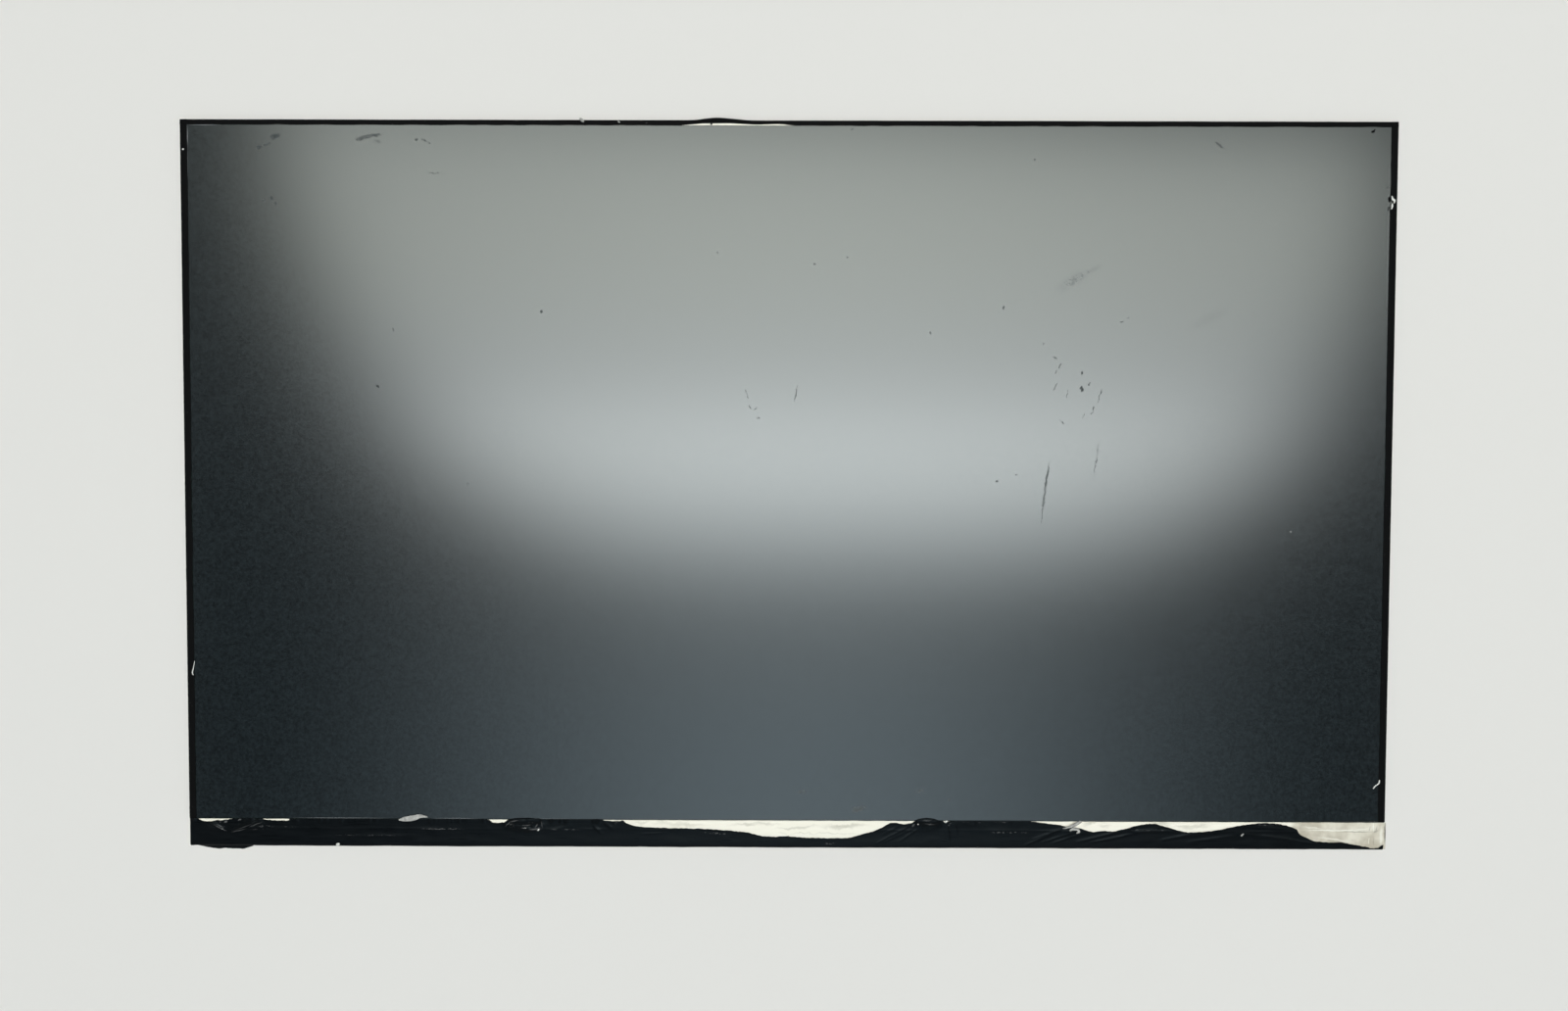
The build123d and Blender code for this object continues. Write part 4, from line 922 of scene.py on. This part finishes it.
def grey_scraps(finish):
    """Grey shreds: one across the front's lower edge, one curl and one loop on the strip."""
    over_screen = screen_face + film / 2
    on_strip = ledge_face + film / 2
    front = scrap_piece(
        "grey_shred_front", [(-97.4, 6.95), (-95.6, 7.2), (-93.6, 7.5), (-91.8, 7.95), (-90.1, 7.7)],
        [0.12, 0.6, 0.68, 0.42, 0.08], over_screen, 0.1, 0.12, finish)
    curl = scrap_piece(
        "grey_shred_curl", [(69.4, 5.3), (71.0, 5.75), (72.6, 6.4), (74.0, 7.2)],
        [0.1, 0.25, 0.4, 0.3], on_strip + 0.1 * MM, 0.25, 0.2, finish)
    loop = scrap_piece(
        "grey_shred_loop", [(71.1, 4.75), (72.0, 5.2), (73.1, 5.05), (73.4, 4.5), (72.8, 4.1)],
        [0.18, 0.3, 0.3, 0.25, 0.15], on_strip + 0.1 * MM, 0.2, 0.15, finish)
    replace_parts(front, "grey_film_shreds")
    return [front, curl, loop]


# White slivers on the screen's edges: spine, then its half widths
SLIVERS = [
    ([(-148.15, -43.7), (-148.35, -45.0), (-148.7, -46.6), (-148.5, -47.3)], [0.03, 0.07, 0.13, 0.04]),
    ([(148.45, -72.7), (148.35, -73.4), (147.85, -73.9), (147.4, -74.2), (146.9, -74.9)],
     [0.1, 0.16, 0.12, 0.13, 0.14]),
    ([(148.6, 72.4), (148.85, 71.6), (149.3, 71.2), (149.2, 70.6)], [0.08, 0.28, 0.25, 0.06]),
    ([(148.75, 70.6), (148.75, 69.9), (148.55, 69.1)], [0.08, 0.22, 0.05]),
]


def white_slivers(finish):
    """Thin white slivers at the screen's side edges: two loose ones and two at the chipped tape."""
    for number, (spine, half_widths) in enumerate(SLIVERS):
        rising = [(x, y - bottom_outline / MM) for x, y in spine]
        name = f"white_sliver_{number + 1}"
        level = screen_face + film / 2
        scrap_piece(name, rising, half_widths, level, 0.03, 0.05, finish)


# Grains and flecks: x, y, level above the back, half length, half width, half height, turn
DARK_SPECKS = [
    (-19.0, 89.6, 2.62, 0.3, 0.22, 0.1, 20), (143.7, 88.1, 2.7, 0.5, 0.32, 0.1, 15),
    (144.1, 88.5, 2.7, 0.3, 0.14, 0.06, 60), (148.05, 71.5, 2.7, 0.75, 0.34, 0.08, 100),
    (147.9, 69.3, 2.69, 0.6, 0.14, 0.05, 85), (-50.1, 89.35, 2.62, 0.28, 0.2, 0.08, 30),
    (-41.9, 89.45, 2.62, 0.2, 0.15, 0.06, 0),
]
GREY_SPECKS = [
    (-50.9, 90.5, 2.62, 0.75, 0.38, 0.12, -45), (-41.8, 90.1, 2.62, 0.38, 0.2, 0.06, -30),
    (114.5, -86.85, 2.3, 0.55, 0.25, 0.07, 45),
]
SPECKS = [
    (-149.34, 83.2, 2.55, 0.26, 0.22, 0.1, 30), (125.17, -10.5, 2.68, 0.16, 0.13, 0.07, 0),
    (40.1, -83.7, 2.36, 0.42, 0.3, 0.12, 35), (-112.9, -90.05, 2.2, 0.55, 0.4, 0.25, 20),
    (-62.3, -86.1, 2.66, 0.32, 0.18, 0.08, 50), (-65.7, -85.7, 2.66, 0.3, 0.1, 0.05, 10),
    (33.0, -84.3, 2.76, 0.2, 0.12, 0.08, 40), (-141.9, -86.2, 2.36, 0.2, 0.08, 0.05, 40),
]


def grains(name, places, finish):
    """Dust grains and flecks: one rounded grain, a ball of rings and spokes, copied to every place with
    its own size and turn."""
    tilt = np.radians(np.linspace(-90, 90, 7))
    turn = np.radians(np.arange(0, 360, 45))
    ring = np.stack([
        np.cos(tilt)[:, None] * np.cos(turn), np.cos(tilt)[:, None] * np.sin(turn),
        np.sin(tilt)[:, None] * np.ones(len(turn)),
    ], axis=-1)
    rings, spokes = ring.shape[:2]
    grain = np.concatenate([[[0, 0, -1]], ring[1:-1].reshape(-1, 3), [[0, 0, 1]]])
    index = 1 + np.arange((rings - 2) * spokes).reshape(rings - 2, spokes)
    ahead = np.roll(index, -1, axis=1)
    sides = np.stack([index[:-1], ahead[:-1], ahead[1:], index[1:]], axis=-1).reshape(-1, 4)
    bottom = np.stack([0 * index[0], ahead[0], index[0]], axis=-1)
    top = np.stack([0 * index[0] + len(grain) - 1, index[-1], ahead[-1]], axis=-1)
    rows = np.array(places, float)
    angle = np.radians(rows[:, 6])[:, None]
    x = grain[:, 0] * rows[:, 3:4]
    y = grain[:, 1] * rows[:, 4:5]
    z = grain[:, 2] * rows[:, 5:6]
    points = np.stack([
        rows[:, 0:1] + x * np.cos(angle) - y * np.sin(angle),
        rows[:, 1:2] + x * np.sin(angle) + y * np.cos(angle),
        rows[:, 2:3] + z,
    ], axis=-1) * MM
    starts = np.arange(len(rows))[:, None, None] * len(grain)
    squares = (sides + starts).reshape(-1, 4).tolist()
    triangles = (np.concatenate([bottom, top]) + starts).reshape(-1, 3).tolist()
    return mesh_piece(name, points.reshape(-1, 3), squares + triangles, finish)


# Camera
CAMERA_PLACE = (-0.000133, 0.006406, 0.308675)
CAMERA_TURN = (-2.01, 0.14, 0.166)
CAMERA_LENS = 28.26
SENSOR_WIDTH = 36.0


def add_camera():
    """Camera almost straight above the screen, tipped a little towards its lower edge."""
    camera = bpy.data.cameras.new("camera")
    camera.lens = CAMERA_LENS
    camera.sensor_width = SENSOR_WIDTH
    camera.clip_start = 0.01
    holder = bpy.data.objects.new("camera", camera)
    holder.location = CAMERA_PLACE
    holder.rotation_euler = [math.radians(angle) for angle in CAMERA_TURN]
    bpy.context.scene.collection.objects.link(holder)
    bpy.context.scene.camera = holder


# Floor and light
FLOOR_SIZE = 1.6
FLOOR_COLOUR = (0.775, 0.76, 0.73, 1.0)
CARD_HEIGHT = 2.5
CARD_SIZE = (3.2, 4.4)
CARD_MIDDLE = (0.0, 0.31)
SHEEN_MIDDLE = (0.0043, 0.18)
SHEEN_REACH = (0.1367, 0.1867)
SHEEN_SLANT = -0.069
SHEEN_ROUNDING = 3.43
SHEEN_EDGE = (0.927, 1.131)
SHEEN_TILT = 0.044
SHEEN_ENDS = (0.0817, 0.1086)
SHEEN_FALL = (0.03, 0.0102)
SHEEN_LEVELS = (6.52, 10.85)
GLOW_MIDDLE = (0.004, -0.12)
GLOW_REACH = (0.1416, 0.354)
GLOW = 2.2
WARM_REACH = (0.02, 0.06)
COOL_REACH = (0.01, -0.08)
CARD_PLAIN = (1.0, 1.0, 1.0, 1.0)
CARD_WARM = (1.0, 0.995, 0.93, 1.0)
CARD_COOL = (0.86, 1.0, 1.12, 1.0)
WORLD_LEVEL = 0.145
WORLD_COLOUR = (0.85, 1.0, 1.08, 1.0)


def stage_plane(name, width, depth, middle, level, finish):
    """Flat plane that belongs to the stage."""
    mesh = bpy.data.meshes.new(name)
    x = width / 2
    y = depth / 2
    mesh.from_pydata([(-x, -y, 0), (x, -y, 0), (x, y, 0), (-x, y, 0)], [], [(0, 1, 2, 3)])
    mesh.materials.append(finish)
    plane = bpy.data.objects.new(name, mesh)
    plane.location = (*middle, level)
    bpy.context.scene.collection.objects.link(plane)
    return plane


def floor_finish():
    """Plain pale floor."""
    finish, _, shader = new_finish("pale_floor")
    shader.inputs["Base Color"].default_value = FLOOR_COLOUR
    shader.inputs["Roughness"].default_value = 0.9
    shader.inputs["Specular IOR Level"].default_value = 0.1
    return finish


def card_finish():
    """Soft light card. Its brightness is laid out by where the screen mirrors it to the camera: a wide
    soft oval over the upper screen, brighter towards its lower side, and a dim oval below it."""
    finish, tree, shader = new_finish("soft_light")
    tree.nodes.remove(shader)
    camera_above = CAMERA_PLACE[2] - screen_face
    share = camera_above / (camera_above + CARD_HEIGHT)
    offset = [m * share + c * (1 - share) for m, c in zip(CARD_MIDDLE, CAMERA_PLACE)]
    inputs = {"Vector": object_place(tree), "Scale": (share, share, 0.0), "Location": (*offset, 0.0)}
    mirrored = add_node(tree, "ShaderNodeMapping", inputs).outputs["Vector"]
    split = add_node(tree, "ShaderNodeSeparateXYZ", {"Vector": mirrored})
    across = split.outputs["X"]
    height = split.outputs["Y"]

    up = combine(tree, "SUBTRACT", height, SHEEN_MIDDLE[1])
    slanted = combine(tree, "SUBTRACT", across, combine(tree, "MULTIPLY", up, SHEEN_SLANT))
    sides = []
    for value, middle, reach in ((slanted, SHEEN_MIDDLE[0], SHEEN_REACH[0]), (up, 0.0, SHEEN_REACH[1])):
        share_out = combine(tree, "DIVIDE", combine(tree, "SUBTRACT", value, middle), reach)
        size = combine(tree, "ABSOLUTE", share_out, 0.0)
        sides.append(combine(tree, "POWER", size, SHEEN_ROUNDING))
    away = combine(tree, "POWER", combine(tree, "ADD", *sides), 1 / SHEEN_ROUNDING)
    oval = ranged(tree, away, *SHEEN_EDGE, 1.0, 0.0, smooth=True)
    tilted = combine(tree, "ADD", height, combine(tree, "MULTIPLY", across, SHEEN_TILT))
    upper_end = ranged(tree, tilted, *SHEEN_ENDS, 1.0, 0.0, smooth=True)
    level = ranged(tree, height, *SHEEN_FALL, *SHEEN_LEVELS, smooth=True)
    sheen = combine(tree, "MULTIPLY", combine(tree, "MULTIPLY", oval, upper_end), level)

    inputs = {"Vector": mirrored, "Location": (*GLOW_MIDDLE, 0.0), "Scale": (*GLOW_REACH, 1.0)}
    around = add_node(tree, "ShaderNodeMapping", inputs, vector_type="TEXTURE").outputs["Vector"]
    distance = add_node(tree, "ShaderNodeVectorMath", {0: around}, operation="LENGTH").outputs["Value"]
    glow = ranged(tree, distance, 0.0, 1.0, GLOW, 0.0, smooth=True)
    warm = ranged(tree, height, *WARM_REACH, 0.0, 1.0, smooth=True)
    cool = ranged(tree, height, *COOL_REACH, 0.0, 1.0, smooth=True)
    tint = mixed(tree, cool, mixed(tree, warm, CARD_PLAIN, CARD_WARM), CARD_COOL)
    strength = combine(tree, "ADD", sheen, glow)
    light = add_node(tree, "ShaderNodeEmission", {"Color": tint, "Strength": strength})
    tree.links.new(light.outputs["Emission"], tree.nodes["Material Output"].inputs["Surface"])
    return finish


def surround():
    """Dim even light all round, which looks as pale as the floor when it is seen or mirrored."""
    world = bpy.data.worlds.new("surround")
    world.use_nodes = True
    tree = world.node_tree
    dim = tree.nodes["Background"]
    dim.inputs["Color"].default_value = WORLD_COLOUR
    dim.inputs["Strength"].default_value = WORLD_LEVEL
    pale = add_node(tree, "ShaderNodeBackground", {"Color": FLOOR_COLOUR, "Strength": 1.0})
    ray = tree.nodes.new("ShaderNodeLightPath").outputs
    seen = combine(tree, "MAXIMUM", ray["Is Camera Ray"], ray["Is Transmission Ray"])
    seen = combine(tree, "MAXIMUM", seen, ray["Is Glossy Ray"])
    both = add_node(tree, "ShaderNodeMixShader", {0: seen, 1: dim.outputs[0], 2: pale.outputs[0]})
    tree.links.new(both.outputs[0], tree.nodes["World Output"].inputs["Surface"])
    return world


def add_stage():
    """Floor, light card above the screen, and an even surround."""
    stage_plane("floor", FLOOR_SIZE, FLOOR_SIZE, (0.0, 0.0), 0.0, floor_finish())
    card = stage_plane("light_card", *CARD_SIZE, CARD_MIDDLE, screen_face + CARD_HEIGHT, card_finish())
    card.visible_camera = False
    bpy.context.scene.world = surround()
    bpy.context.scene.view_settings.view_transform = "Standard"


finishes = all_finishes()
film_finish = black_film_finish()
dress_nodes(finishes)
torn_black_film(film_finish)
creased_cream_film(finishes["cream_film"])
side_tape("left_tape", -1, finishes["black_film"], "left_edge_tape", None)
side_tape("right_tape", 1, finishes["black_film"], "right_edge_tape", RIGHT_BITE)
top_tape(finishes["black_film"])
grey_scraps(finishes["grey_film"])
white = fleck_finish()
white_slivers(white)
grains("pale_flecks", SPECKS, white)
grains("grey_flecks", GREY_SPECKS, finishes["grey_film"])
grains("dark_flecks", DARK_SPECKS, finishes["black_film"])
add_camera()
add_stage()
